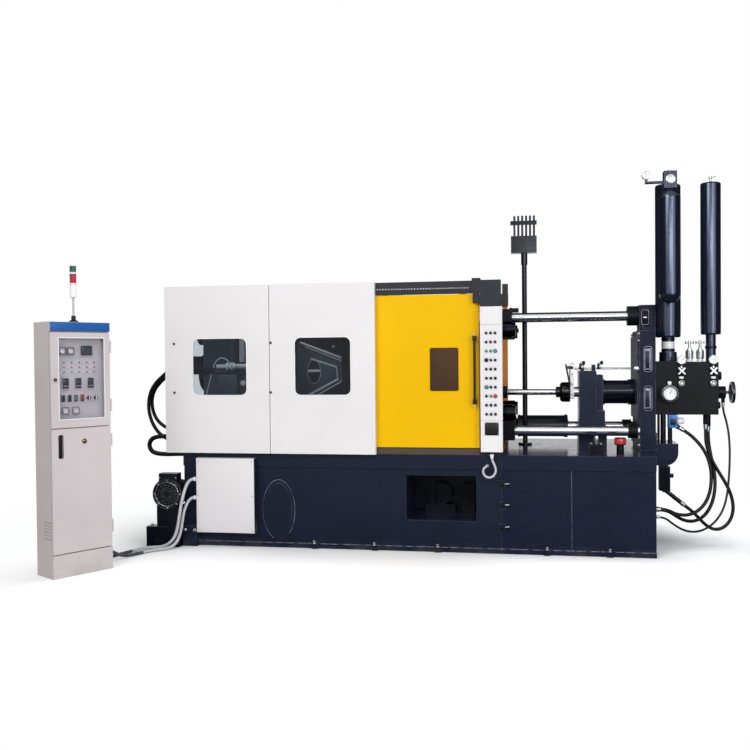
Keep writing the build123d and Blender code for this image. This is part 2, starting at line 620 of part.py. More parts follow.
with BuildPart() as pull_rods:
    round_x((PLATEN_THICKNESS, UPPER_BLOCK_LEFT), 0, UPPER_ROD_Z, PULL_ROD_RADIUS)
    for y in (-LOWER_ROD_Y, LOWER_ROD_Y):
        round_x((PLATEN_THICKNESS, FRAME_LEFT), y, LOWER_ROD_Z, PULL_ROD_RADIUS)
write(pull_rods, "pull_rods")

with BuildPart() as rod_clamps:
    block((PLATEN_THICKNESS, CLAMP_RIGHT - 18), (-80, 80), (UPPER_ROD_Z - 104, UPPER_ROD_Z + 64))
    block((CLAMP_RIGHT - 18, CLAMP_RIGHT), (-92, 92), (UPPER_ROD_Z - 112, UPPER_ROD_Z + 72))
    block((CLAMP_RIGHT, CLAMP_RIGHT + 48), (-34, 34), (UPPER_ROD_Z + 40, UPPER_ROD_Z + 72))
    block((CLAMP_RIGHT, CLAMP_RIGHT + 48), (-34, 34), (UPPER_ROD_Z - 112, UPPER_ROD_Z - 80))
    round_x((UPPER_BLOCK_LEFT - 79, UPPER_BLOCK_LEFT), 0, UPPER_ROD_Z, 72)
    round_x((PLATEN_THICKNESS, UPPER_BLOCK_LEFT), 0, UPPER_ROD_Z, ROD_BORE, Mode.SUBTRACT)
    for y in (-LOWER_ROD_Y, LOWER_ROD_Y):
        block((PLATEN_THICKNESS, PLATEN_THICKNESS + 122), (y - 65, y + 65), (LOWER_ROD_Z - 68, LOWER_ROD_Z + 68))
        round_x((FRAME_LEFT - 80, PLATE_LEFT), y, LOWER_ROD_Z, 52)
        if y > 0:
            round_x((PLATEN_THICKNESS + 122, PLATEN_THICKNESS + 515), y, LOWER_ROD_Z, 58)
        round_x((PLATEN_THICKNESS, FRAME_LEFT), y, LOWER_ROD_Z, ROD_BORE, Mode.SUBTRACT)
    round_x((PLATEN_THICKNESS + 24, PLATEN_THICKNESS + 62), 0, SHOT_Z, 46)
    round_x((PLATEN_THICKNESS + 24, PLATEN_THICKNESS + 62), 0, SHOT_Z, SHOT_ROD_RADIUS + 6, Mode.SUBTRACT)
write(rod_clamps, "rod_clamps")

SHOT_BLOCK_RIGHT = SHOT_BLOCK_LEFT + SHOT_BLOCK_LENGTH
SHOT_CYLINDER_LEFT = SHOT_BLOCK_RIGHT + 48
PISTON_BORE = PISTON_ROD_RADIUS + RUNNING_CLEARANCE
COUPLING_RIGHT = 724.0

with BuildPart() as injection_frame:
    block((FRAME_LEFT, FRAME_RIGHT), (-FRAME_HALF_DEPTH, FRAME_HALF_DEPTH), (DECK, FRAME_TOP))
    block((FRAME_RIGHT, FRAME_RIGHT + 15), (-190, 190), (DECK, DECK + 120))
    block((PLATE_LEFT, FRAME_LEFT), (-230, 230), (DECK + 218, DECK + 815))
    block((UPPER_BLOCK_LEFT, FRAME_RIGHT + 19), (-90, 90), (FRAME_TOP, DECK + 1043))
    block((UPPER_BLOCK_LEFT + 24, FRAME_RIGHT - 12), (-90, -82), (FRAME_TOP + 20, DECK + 1013), Mode.SUBTRACT)
    for low, high in ((287, 456), (563, 737)):
        with BuildSketch(Plane.XZ.offset(FRAME_HALF_DEPTH - 60)) as pocket:
            with Locations((FRAME_LEFT + 57, DECK + (low + high) / 2)):
                RectangleRounded(48, high - low, 16)
        extrude(pocket.sketch, amount=60, mode=Mode.SUBTRACT)
    piston_hole = PISTON_ROD_RADIUS + 10
    round_x((PLATE_LEFT, FRAME_RIGHT - 40), 0, SHOT_Z, piston_hole, Mode.SUBTRACT)
write(injection_frame, "injection_frame")

with BuildPart() as shot_block:
    half = SHOT_BLOCK_HALF_DEPTH
    block((SHOT_BLOCK_LEFT, SHOT_BLOCK_RIGHT), (-half, half), (DECK + 275, DECK + 565))
    block((SHOT_BLOCK_RIGHT, SHOT_CYLINDER_LEFT), (-half + 24, half - 24), (DECK + 275, DECK + 536))
    block((SHOT_BLOCK_LEFT - 5, SHOT_BLOCK_LEFT + 195), (-half + 10, half - 10), (DECK, DECK + 166))
    block((SHOT_BLOCK_LEFT, SHOT_CYLINDER_LEFT + 12), (-half + 10, half - 10), (DECK + 166, DECK + 275))
    for x in (SHOT_BLOCK_LEFT + 12, SHOT_BLOCK_RIGHT - 30):
        block((x, x + 26), (-90, -30), (DECK + 565, DECK + 612))
        round_x((x, x + 26), -60, SHOT_Z + 175, 12.5, Mode.SUBTRACT)
    round_x((SHOT_BLOCK_LEFT, SHOT_CYLINDER_LEFT), 0, SHOT_Z, PISTON_BORE, Mode.SUBTRACT)
write(shot_block, "shot_block")

with BuildPart() as shot_cylinder:
    round_x((SHOT_CYLINDER_LEFT, PLATE_LEFT), 0, SHOT_Z, SHOT_CYLINDER_RADIUS)
    round_x((SHOT_CYLINDER_LEFT, SHOT_CYLINDER_LEFT + 18), 0, SHOT_Z, SHOT_CYLINDER_RADIUS + 8)
    round_x((PLATE_LEFT - 44, PLATE_LEFT), 0, SHOT_Z, SHOT_CYLINDER_RADIUS + 8)
    round_x((SHOT_CYLINDER_LEFT, PLATE_LEFT), 0, SHOT_Z, PISTON_BORE, Mode.SUBTRACT)
write(shot_cylinder, "shot_cylinder")

with BuildPart() as shot_rod:
    round_x((120, COUPLING_RIGHT - 84), 0, SHOT_Z, SHOT_ROD_RADIUS)
    round_x((COUPLING_RIGHT - 104, COUPLING_RIGHT - 76), 0, SHOT_Z, 40)
    with BuildSketch(Plane.XZ) as profile:
        with Locations((COUPLING_RIGHT - 38, SHOT_Z + 37)):
            side = Rectangle(76, 74)
        fillet(side.vertices().group_by(Axis.Y)[-1].group_by(Axis.X)[0], 26)
    revolve(profile.sketch, axis=Axis((0, 0, SHOT_Z), (1, 0, 0)))
    round_x((COUPLING_RIGHT, FRAME_LEFT - 20), 0, SHOT_Z, PISTON_ROD_RADIUS)
write(shot_rod, "shot_rod")

with BuildPart() as stroke_arm:
    block((COUPLING_RIGHT, COUPLING_RIGHT + 26), (-95, 50), (SHOT_Z - 48, SHOT_Z + 202))
    bore = PISTON_ROD_RADIUS + SEAT_CLEARANCE
    round_x((COUPLING_RIGHT, COUPLING_RIGHT + 26), 0, SHOT_Z, bore, Mode.SUBTRACT)
    round_x((COUPLING_RIGHT + 26, FRAME_LEFT - 41), -60, SHOT_Z + 175, 7)
write(stroke_arm, "stroke_arm")

# Accumulators and valve blocks
BLOCK_LEFT = FRAME_RIGHT
BLOCK_RIGHT = BLOCK_LEFT + 149
BLOCK_TOP = DECK + 632
MANIFOLD_TOP = DECK + 627
BLOCK_BOTTOM = DECK + 253
BOTTLE_X = FRAME_RIGHT + 109.5
BOTTLE_Y = -60.0
BOTTLE_RADIUS = 88.5
GAS_X = FRAME_RIGHT + 98.5
GAS_Y = -235.0
GAS_RADIUS = 74.5
REAR_BOTTLE_X = MANIFOLD_RIGHT - 27.5

with BuildPart() as accumulator:
    bottle(BOTTLE_X, BOTTLE_Y, (DECK + 804, DECK + 1905), BOTTLE_RADIUS, 14)
    round_z(BOTTLE_X, BOTTLE_Y, (BLOCK_TOP + 68, DECK + 810), 45)
    round_z(BOTTLE_X, BOTTLE_Y, (BLOCK_TOP, BLOCK_TOP + 68), 62)
write(accumulator, "accumulator")

with BuildPart() as nitrogen_bottle:
    bottle(GAS_X, GAS_Y, (DECK + 1044, DECK + 1853), GAS_RADIUS, GAS_RADIUS - 6)
    for rise in (1120, 1700):
        block((GAS_X - 40, GAS_X + 45), (GAS_Y + 60, BOTTLE_Y - 60), (DECK + rise, DECK + rise + 50))
    round_z(BOTTLE_X, BOTTLE_Y, (DECK + 1100, DECK + 1800), BOTTLE_RADIUS + SEAT_CLEARANCE, Mode.SUBTRACT)
    block((GAS_X - 42, GAS_X + 46), (GAS_Y - 40, GAS_Y + 40), (DECK + 1850, DECK + 1969))
    round_x((GAS_X - 167, GAS_X - 42), GAS_Y, DECK + 1896, 10)
    round_z(GAS_X - 158, GAS_Y, (DECK + 1896, DECK + 1918), 9)
write(nitrogen_bottle, "nitrogen_bottle")

with BuildPart() as rear_accumulator:
    bottle(REAR_BOTTLE_X, BOTTLE_Y, (DECK + 821, DECK + 1908), 69.5, 12)
    round_z(REAR_BOTTLE_X, BOTTLE_Y, (MANIFOLD_TOP, DECK + 825), 35)
write(rear_accumulator, "rear_accumulator")

with BuildPart() as accumulator_block:
    block((BLOCK_LEFT, BLOCK_RIGHT), (MANIFOLD_FRONT, MANIFOLD_REAR), (BLOCK_BOTTOM, BLOCK_TOP))
    round_y(BLOCK_LEFT + 96, (MANIFOLD_FRONT - 20, MANIFOLD_FRONT), DECK + 404, 72)
write(accumulator_block, "accumulator_block")

with BuildPart() as valve_manifold:
    block((BLOCK_RIGHT, MANIFOLD_RIGHT), (MANIFOLD_FRONT, MANIFOLD_REAR), (BLOCK_BOTTOM, MANIFOLD_TOP))
    round_z(1668, -120, (BLOCK_BOTTOM - 72, BLOCK_BOTTOM), 18)
    round_z(1695, -60, (BLOCK_BOTTOM - 90, BLOCK_BOTTOM), 18)
    for x in (BLOCK_RIGHT + 30, MANIFOLD_RIGHT - 38):
        round_y(x, (MANIFOLD_FRONT - 24, MANIFOLD_FRONT), DECK + 475, 26)
        round_z(x, MANIFOLD_FRONT - 13, (DECK + 475, DECK + 612), 8)
        round_z(x, MANIFOLD_FRONT - 13, (DECK + 510, DECK + 524), 15)
    round_x((MANIFOLD_RIGHT, MANIFOLD_RIGHT + 58), BOTTLE_Y - 60, SHOT_Z, 44)
    round_x((MANIFOLD_RIGHT, MANIFOLD_RIGHT + 30), BOTTLE_Y - 60, SHOT_Z + 118, 30)
    round_x((MANIFOLD_RIGHT, MANIFOLD_RIGHT + 24), BOTTLE_Y - 60, SHOT_Z - 92, 24)
    round_z(MANIFOLD_RIGHT + 44, BOTTLE_Y - 60, (SHOT_Z - 72, SHOT_Z - 30), 13)
    stem = 10 + RUNNING_CLEARANCE
    round_x((MANIFOLD_RIGHT, MANIFOLD_RIGHT + 58), BOTTLE_Y - 60, SHOT_Z, stem, Mode.SUBTRACT)
write(valve_manifold, "valve_manifold")

with BuildPart() as pressure_gauges:
    gauge_front = MANIFOLD_FRONT - 52
    round_y(BLOCK_LEFT + 96, (gauge_front, MANIFOLD_FRONT - 20), DECK + 404, 58)
    for x, rise in ((BLOCK_RIGHT + 30, 643), (MANIFOLD_RIGHT - 38, 643)):
        round_y(x, (MANIFOLD_FRONT - 30, MANIFOLD_FRONT - 4), DECK + rise, 31)
    round_y(GAS_X - 158, (GAS_Y - 14, GAS_Y + 14), DECK + 1949, 31)
write(pressure_gauges, "pressure_gauges")

with BuildPart() as needle_valves:
    for x in (BLOCK_RIGHT + 99, BLOCK_RIGHT + 171):
        round_z(x, -120, (MANIFOLD_TOP, MANIFOLD_TOP + 22), 20)
        round_z(x, -120, (MANIFOLD_TOP + 22, MANIFOLD_TOP + 84), 26)
        round_z(x, -120, (MANIFOLD_TOP + 84, MANIFOLD_TOP + 152), 9)
        round_x((x - 27, x + 27), -120, MANIFOLD_TOP + 138, 6)
    for x in (BLOCK_RIGHT + 30, MANIFOLD_RIGHT - 38):
        with BuildSketch(Plane.XZ.offset(28 - MANIFOLD_FRONT)) as cross:
            with Locations((x, DECK + 564)):
                Rectangle(CROSS_HANDLE_SPAN, CROSS_HANDLE_WIDTH, rotation=45)
                Rectangle(CROSS_HANDLE_SPAN, CROSS_HANDLE_WIDTH, rotation=-45)
        extrude(cross.sketch, amount=CROSS_HANDLE_WIDTH)
        round_y(x, (MANIFOLD_FRONT - 44, MANIFOLD_FRONT - 21), DECK + 564, CROSS_HANDLE_WIDTH)
write(needle_valves, "needle_valves")

with BuildPart() as handwheel:
    wheel_left = MANIFOLD_RIGHT + 96
    wheel_y = BOTTLE_Y - 60
    round_x((wheel_left, wheel_left + 20), wheel_y, SHOT_Z, HANDWHEEL_RADIUS)
    round_x((wheel_left, wheel_left + 20), wheel_y, SHOT_Z, HANDWHEEL_RADIUS - 18, Mode.SUBTRACT)
    for spoke in range(3):
        turn = radians(30 + 120 * spoke)
        reach = HANDWHEEL_RADIUS - 12
        tip = (wheel_left + 10, wheel_y + reach * cos(turn), SHOT_Z + reach * sin(turn))
        rod((wheel_left + 4, wheel_y, SHOT_Z), tip, 6)
    round_x((wheel_left - 14, wheel_left + 22), wheel_y, SHOT_Z, 16)
    round_x((MANIFOLD_RIGHT + 28, wheel_left), wheel_y, SHOT_Z, 10)
write(handwheel, "handwheel")

with BuildPart() as small_valves:
    block((831, 924), (BED_FRONT + 50, BED_FRONT + 130), (DECK, DECK + 75))
    round_z(880, BED_FRONT + 90, (DECK + 75, DECK + 128), 16)
    round_z(1038, BED_FRONT + 90, (DECK, DECK + 70), 24)
    round_z(1038, BED_FRONT + 90, (DECK + 70, DECK + 119), 38)
    block((BLOCK_RIGHT - 53, BLOCK_RIGHT + 6), (-190, -110), (BLOCK_BOTTOM - 94, BLOCK_BOTTOM))
    round_x((BLOCK_RIGHT + 6, BLOCK_RIGHT + 52), -150, BLOCK_BOTTOM - 48, 22)
    rod((1449.6, -152.8, BLOCK_BOTTOM - 76.2), (1482, -160, BLOCK_BOTTOM - 96), 17)
    round_z(BLOCK_RIGHT - 87, -150, (DECK + 44, BLOCK_BOTTOM), 19)
    round_z(BLOCK_RIGHT - 40, -150, (DECK + 44, BLOCK_BOTTOM - 94), 16)
    round_z(BLOCK_RIGHT - 119, -150, (DECK + 44, BLOCK_BOTTOM), 9)
    block((FRAME_RIGHT + 25, FRAME_RIGHT + 95), (-262, -172), (DECK - 284, DECK - 112))
    round_x((FRAME_RIGHT + 95, FRAME_RIGHT + 122), -215, DECK - 180, 15)
    round_z(FRAME_RIGHT + 64, -227, (DECK - 296, DECK - 284), 20)
    rod((FRAME_RIGHT + 64, -227, DECK - 282), (1478, -220, DECK - 366), 15)
write(small_valves, "small_valves")

with BuildPart() as water_manifold:
    round_z(390, 150, (DECK, DECK + 14), 52)
    round_z(390, 150, (DECK + 14, DECK + 1379), 19)
    round_z(390, 150, (DECK + 1379, DECK + 1468), 24)
    block((291, 485), (110, 190), (DECK + 1468, DECK + 1597))
    for column in range(6):
        round_z(317 + 29.6 * column, 150, (DECK + 1597, DECK + 1755), 8)
    block((286, 486), (132, 168), (DECK + 1686, DECK + 1715))
write(water_manifold, "water_manifold")

# Bed equipment
BOX_LEFT = -1952.0
BOX_WIDTH = 437.0
BOX_FRONT = BED_FRONT - 50

with BuildPart() as junction_box:
    block((BOX_LEFT, BOX_LEFT + BOX_WIDTH), (BOX_FRONT, BED_FRONT), (104, 642))
    block((BOX_LEFT, BOX_LEFT + BOX_WIDTH), (BED_FRONT, WEB_FRONT), (120, BED_HEIGHT - BAND_HEIGHT))
    for z in (488, 353):
        round_x((BOX_LEFT - 12, BOX_LEFT), BOX_FRONT + 15, z, 14)
write(junction_box, "junction_box")

MOTOR_X = -2154.0
MOTOR_Z = 384.0
MOTOR_RADIUS = 112.0

with BuildPart() as pump_motor:
    motor_front = BED_FRONT - 105
    round_y(MOTOR_X, (motor_front, BED_FRONT - 5), MOTOR_Z, MOTOR_RADIUS)
    round_y(MOTOR_X, (BED_FRONT - 5, motor_front + 250), MOTOR_Z, MOTOR_RADIUS - 34)
    round_y(MOTOR_X, (motor_front - 6, motor_front), MOTOR_Z, MOTOR_RADIUS - 22)
    block((MOTOR_X - 70, MOTOR_X + 70), (motor_front + 16, BED_FRONT - 10), (MOTOR_Z + 80, MOTOR_Z + 148))
write(pump_motor, "pump_motor")

with BuildPart() as motor_stand:
    saddle = MOTOR_Z - MOTOR_RADIUS + 24
    block((-2320, CLAMP_BED_LEFT), (BED_FRONT - 100, BED_FRONT + 140), (0, 51))
    block((-2320, CLAMP_BED_LEFT), (BED_FRONT - 100, BED_FRONT - 10), (51, 146))
    block((-2246, -2086), (BED_FRONT - 80, BED_FRONT + 120), (146, saddle))
    block((-2246, -2086), (BED_FRONT - 10, BED_FRONT + 120), (51, 146))
    round_y(MOTOR_X, (BED_FRONT - 120, BED_FRONT + 150), MOTOR_Z, MOTOR_RADIUS + SEAT_CLEARANCE, Mode.SUBTRACT)
write(motor_stand, "motor_stand")

# Control cabinet
cabinet_plane = Plane(
    origin=(CABINET_X, BED_FRONT - CABINET_REACH, 0),
    x_dir=(cos(radians(CABINET_TURN)), sin(radians(CABINET_TURN)), 0),
    z_dir=(0, 0, 1),
)
SHELL_FRONT = CABINET_DOOR_THICKNESS + CABINET_DOOR_GAP
LOWER_DOOR_TOP = CABINET_PLINTH + LOWER_DOOR_HEIGHT
UPPER_DOOR_BOTTOM = LOWER_DOOR_TOP + DOOR_SEAM
UPPER_DOOR_TOP = CABINET_HEIGHT - CABINET_BAND - DOOR_SEAM
VIEW_LEFT = 58.0
VIEW_RIGHT = 370.0
VIEW_LOW = UPPER_DOOR_BOTTOM + 54
VIEW_HIGH = CABINET_HEIGHT - 103
HINGE_X = CABINET_WIDTH - CABINET_DOOR_INSET + HINGE_OFFSET
PLATE_FRONT = SHELL_FRONT + 13


def knuckle(z, way):
    """A door's hinge knuckle with the cabinet's knuckle above or below it."""
    round_z(HINGE_X, HINGE_OFFSET, (z, z + KNUCKLE_LENGTH), KNUCKLE_RADIUS)
    if way:
        block((HINGE_X - HINGE_OFFSET, HINGE_X), (4, 12), (z, z + KNUCKLE_LENGTH))
    else:
        block((CABINET_WIDTH, HINGE_X), (HINGE_OFFSET, SHELL_FRONT + 30), (z, z + KNUCKLE_LENGTH))


def knuckle_heights(low, high):
    """The heights of one door's two knuckles."""
    return (low + 90, high - 90 - KNUCKLE_LENGTH)


with BuildPart(cabinet_plane) as cabinet_body:
    block((0, CABINET_WIDTH), (SHELL_FRONT, CABINET_DEPTH), (0, CABINET_HEIGHT))
    block((0, CABINET_WIDTH), (0, SHELL_FRONT), (0, CABINET_PLINTH - DOOR_SEAM))
    block((0, CABINET_WIDTH), (0, SHELL_FRONT), (CABINET_HEIGHT - CABINET_BAND, CABINET_HEIGHT))
    recess = (VIEW_LOW - 20, VIEW_HIGH + 10)
    block((30, CABINET_WIDTH - 30), (SHELL_FRONT, PLATE_FRONT + 12), recess, Mode.SUBTRACT)
    for louvre in range(6):
        vent = 240 + 20 * louvre
        block((0, 4), (20, 110), (vent, vent + 9), Mode.SUBTRACT)
    for low, high in ((CABINET_PLINTH, LOWER_DOOR_TOP), (UPPER_DOOR_BOTTOM, UPPER_DOOR_TOP)):
        for z in knuckle_heights(low, high):
            knuckle(z + KNUCKLE_LENGTH + 0.5, False)
    for y in (160, 186):
        round_x((CABINET_WIDTH, CABINET_WIDTH + 20), y, 40 if y > 170 else 80, 16)
write(cabinet_body, "cabinet_body")

with BuildPart(cabinet_plane) as cabinet_lower_door:
    door_span = (CABINET_DOOR_INSET, CABINET_WIDTH - CABINET_DOOR_INSET)
    block(door_span, (0, CABINET_DOOR_THICKNESS), (CABINET_PLINTH, LOWER_DOOR_TOP))
    block((50, 75), (0, 7), (LOWER_DOOR_TOP - 180, LOWER_DOOR_TOP - 41), Mode.SUBTRACT)
    round_y(223, (-5, 0), LOWER_DOOR_TOP - 85, 10)
    for z in knuckle_heights(CABINET_PLINTH, LOWER_DOOR_TOP):
        knuckle(z, True)
write(cabinet_lower_door, "cabinet_lower_door")

with BuildPart(cabinet_plane) as cabinet_upper_door:
    block(door_span, (0, CABINET_DOOR_THICKNESS), (UPPER_DOOR_BOTTOM, UPPER_DOOR_TOP))
    block((VIEW_LEFT, VIEW_RIGHT), (0, CABINET_DOOR_THICKNESS), (VIEW_LOW, VIEW_HIGH), Mode.SUBTRACT)
    pane_span = (VIEW_LEFT - 8, VIEW_RIGHT + 8)
    pane_rise = (VIEW_LOW - 8, VIEW_HIGH + 8)
    block(pane_span, (9, CABINET_DOOR_THICKNESS), pane_rise, Mode.SUBTRACT)
    round_y(30, (-6, 0), UPPER_DOOR_BOTTOM + 302, 9)
    for z in knuckle_heights(UPPER_DOOR_BOTTOM, UPPER_DOOR_TOP):
        knuckle(z, True)
write(cabinet_upper_door, "cabinet_upper_door")

with BuildPart(cabinet_plane) as cabinet_window:
    block(pane_span, (9, 13), pane_rise)
write(cabinet_window, "cabinet_window")

with BuildPart(cabinet_plane) as instrument_panel:
    block((30, CABINET_WIDTH - 30), (PLATE_FRONT, PLATE_FRONT + 12), recess)
    face = (PLATE_FRONT - 9, PLATE_FRONT)
    meter_z = VIEW_HIGH - 80
    for x in (93, 149):
        block((x - 24, x + 24), face, (meter_z - 24, meter_z + 24))
        round_y(x, (face[0] - 3, face[0]), meter_z, 19)
    block((216, 306), (face[0] + 3, PLATE_FRONT), (meter_z - 32, meter_z + 38))
    for x in (113, 200, 286):
        block((x - 23, x + 23), face, (VIEW_HIGH - 317, VIEW_HIGH - 249))
    for x in (96, 140, 184, 228):
        block((x - 13, x + 13), (face[0] + 2, PLATE_FRONT), (VIEW_HIGH - 400, VIEW_HIGH - 356))
    for x in (272, 320):
        round_y(x, face, VIEW_HIGH - 378, 14)
    for x in (110, 180):
        block((x - 24, x + 24), face, (VIEW_HIGH - 480, VIEW_HIGH - 432))
write(instrument_panel, "instrument_panel")

with BuildPart(cabinet_plane) as stack_light:
    round_z(217, 100, (CABINET_HEIGHT, CABINET_HEIGHT + 8), 24)
    round_z(217, 100, (CABINET_HEIGHT + 8, CABINET_HEIGHT + 164), 7)
    round_z(217, 100, (CABINET_HEIGHT + 164, CABINET_HEIGHT + 362), 20)
    round_z(217, 100, (CABINET_HEIGHT + 243, CABINET_HEIGHT + 247), 22)
    round_z(217, 100, (CABINET_HEIGHT + 306, CABINET_HEIGHT + 311), 22)
write(stack_light, "stack_light")

# Hoses and conduits
ON_DECK = (0, 0, DECK)
AT_FRONT = (0, BED_FRONT, 0)
AT_DECK_FRONT = (0, BED_FRONT, DECK)


def cord(name, origin, radius, points):
    """A hose through points given from an origin, with an arc at each bend."""
    corners = [Vector(*origin) + Vector(*point) for point in points]
    bends = []
    for before, corner, after in zip(corners, corners[1:], corners[2:]):
        come = corner - before
        go = after - corner
        half_turn = radians(come.get_angle(go)) / 2
        bends.append(0.45 * min(come.length, go.length) / tan(half_turn))
    with BuildLine() as centre:
        FilletPolyline(*corners, radius=bends)
    with BuildPart() as tube:
        with BuildSketch(Plane(origin=corners[0], z_dir=corners[1] - corners[0])) as section:
            Circle(radius)
        sweep(section.sketch, path=centre.wires()[0])
    write(tube, name)


cord(
    "manifold_hose",
    ON_DECK,
    HOSE_RADIUS,
    [
        (1668, -120, 181), (1668, -120, 117), (1668, -126, 52), (1684, -134, -16),
        (1712, -141, -86), (1748, -147, -152), (1786, -152, -216), (1820, -156, -282),
        (1842, -160, -354), (1846, -168, -430), (1822, -176, -502), (1774, -184, -552),
        (1712, -191, -564), (1655, -198, -532), (1608, -206, -482), (1565, -212, -436),
        (1520, -217, -400), (1478, -220, -366),
    ],
)
cord(
    "upper_return_hose",
    ON_DECK,
    HOSE_RADIUS,
    [
        (1482, -160, 157), (1536, -172, 124), (1592, -182, 72), (1640, -192, 10), (1673, -204, -62),
        (1688, -216, -140), (1687, -228, -220), (1674, -240, -296), (1643, -252, -367),
        (1592, -264, -420), (1526, -276, -450), (1446, -288, -446), (1366, -300, -404),
        (1290, -300, -404),
    ],
)
cord(
    "lower_return_hose",
    ON_DECK,
    HOSE_RADIUS,
    [
        (1695, -60, 163), (1695, -60, 92), (1699, -76, 18), (1710, -98, -60), (1723, -122, -135),
        (1728, -142, -212), (1722, -164, -288), (1702, -192, -362), (1664, -226, -430),
        (1608, -258, -478), (1540, -286, -494), (1470, -310, -474), (1412, -338, -432),
        (1354, -360, -400), (1290, -360, -400),
    ],
)
cord(
    "bed_hose",
    ON_DECK,
    THIN_HOSE_RADIUS,
    [
        (1786, -120, 336), (1786, -120, 280), (1804, -124, 218), (1817, -134, 150),
        (1822, -150, 78), (1822, -168, 4), (1818, -186, -72), (1812, -200, -150),
        (1804, -214, -226), (1792, -232, -300), (1774, -252, -370), (1744, -272, -434),
        (1700, -292, -490), (1644, -316, -530), (1580, -340, -552), (1512, -362, -550),
        (1450, -384, -524), (1394, -406, -484), (1342, -420, -441), (1279, -420, -441),
    ],
)
cord(
    "clamp_hose_outer",
    ON_DECK,
    CLAMP_HOSE_RADIUS,
    [
        (-2120, -340, 672), (-2180, -340, 672), (-2242, -340, 642), (-2300, -340, 596),
        (-2362, -340, 546), (-2421, -340, 492), (-2462, -340, 422), (-2477, -340, 340),
        (-2471, -340, 256), (-2440, -340, 170), (-2382, -340, 96), (-2298, -340, 52),
        (-2195, -340, 40), (-2100, -340, 40),
    ],
)
cord(
    "clamp_hose_inner",
    ON_DECK,
    CLAMP_HOSE_RADIUS,
    [
        (-2120, -290, 630), (-2185, -290, 630), (-2252, -290, 610), (-2320, -290, 568),
        (-2388, -290, 512), (-2445, -290, 450), (-2470, -290, 378), (-2468, -290, 296),
        (-2442, -290, 224), (-2394, -290, 172), (-2330, -290, 138), (-2256, -290, 123),
        (-2178, -290, 120), (-2100, -290, 120),
    ],
)
cord(
    "clamp_hose_lower",
    ON_DECK,
    LOWER_CLAMP_HOSE_RADIUS,
    [
        (-2100, -400, 90), (-2162, -400, 90), (-2236, -400, 92), (-2312, -400, 93),
        (-2385, -400, 88), (-2431, -400, 69), (-2450, -400, 23), (-2431, -400, -23),
        (-2385, -400, -42), (-2312, -400, -46), (-2236, -400, -43), (-2164, -400, -41),
        (-2100, -400, -41),
    ],
)
cord(
    "cabinet_conduit_front",
    AT_FRONT,
    CONDUIT_RADIUS,
    [
        (-1964, -35, 353), (-1988, -35, 353), (-2006, -50, 340), (-2020, -68, 312),
        (-2030, -88, 272), (-2036, -102, 228), (-2040, -111, 180), (-2046, -116, 132),
        (-2056, -122, 88), (-2070, -133, 50), (-2088, -158, 24), (-2111, -193, 12),
        (-2146, -230, 12), (-2188, -268, 12), (-2224, -324, 12), (-2252, -376, 12),
        (-2276, -432, 12), (-2304, -484, 16), (-2326, -534, 34), (-2338, -582, 62),
        (-2345.2, -627.7, 80), (-2371.7, -670.1, 80),
    ],
)
cord(
    "cabinet_conduit_rear",
    AT_FRONT,
    CONDUIT_RADIUS,
    [
        (-1964, -35, 488), (-1989, -35, 488), (-2008, -53, 475), (-2018, -79, 446),
        (-2023, -104, 408), (-2029, -126, 358), (-2038, -138, 300), (-2046, -143, 240),
        (-2054, -146, 182), (-2066, -148, 126), (-2086, -151, 76), (-2120, -154, 38),
        (-2168, -159, 14), (-2224, -170, 12), (-2274, -198, 12), (-2308, -244, 12),
        (-2328, -300, 12), (-2344, -360, 12), (-2366, -416, 12), (-2388, -468, 12),
        (-2391, -518, 15), (-2378, -564, 28), (-2367.2, -613.9, 40), (-2393.7, -656.3, 40),
    ],
)
cord(
    "panel_conduit",
    AT_DECK_FRONT,
    PANEL_CONDUIT_RADIUS,
    [
        (177, -37, 4), (177, -37, -24), (187, -37, -50), (200, -38, -76), (204, -40, -104),
        (194, -42, -131), (172, -44, -148), (146, -46, -149), (125, -48, -134), (116, -50, -110),
        (121, -54, -84), (146, -54, -68), (146, -24, -68),
    ],
)
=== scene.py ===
import json
from math import cos, pi, radians, sin

import bmesh
import bpy
from mathutils import Matrix, Vector


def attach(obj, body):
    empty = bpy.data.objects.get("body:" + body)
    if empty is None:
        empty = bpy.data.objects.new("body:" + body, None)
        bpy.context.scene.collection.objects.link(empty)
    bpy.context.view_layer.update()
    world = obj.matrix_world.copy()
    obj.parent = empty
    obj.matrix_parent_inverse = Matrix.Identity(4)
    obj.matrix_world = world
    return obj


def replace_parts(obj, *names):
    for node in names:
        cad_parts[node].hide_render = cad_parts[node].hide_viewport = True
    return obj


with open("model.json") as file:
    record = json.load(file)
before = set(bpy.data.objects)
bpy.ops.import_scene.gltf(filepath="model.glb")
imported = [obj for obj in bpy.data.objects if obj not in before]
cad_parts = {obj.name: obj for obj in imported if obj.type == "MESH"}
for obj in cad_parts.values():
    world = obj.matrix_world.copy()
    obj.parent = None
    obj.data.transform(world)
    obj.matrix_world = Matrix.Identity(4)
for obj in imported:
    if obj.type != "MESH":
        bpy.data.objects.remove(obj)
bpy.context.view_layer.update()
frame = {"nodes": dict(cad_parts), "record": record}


def add(name, data):
    """Put a new object into the scene."""
    holder = bpy.data.objects.new(name, data)
    bpy.context.scene.collection.objects.link(holder)
    return holder


# Camera
camera_data = bpy.data.cameras.new("camera")
camera_data.sensor_width = 36.0
camera_data.lens = 43.2
camera_data.clip_end = 100.0
camera = add("camera", camera_data)
bpy.context.scene.camera = camera
turn = Matrix.Rotation(radians(10.322), 4, "Z")
tip = Matrix.Rotation(radians(90 - 1.125), 4, "X")
roll = Matrix.Rotation(radians(-0.522), 4, "Z")
camera.matrix_world = Matrix.Translation((0.496, -6.871, 1.360)) @ turn @ tip @ roll
bpy.context.scene.view_settings.view_transform = "Standard"


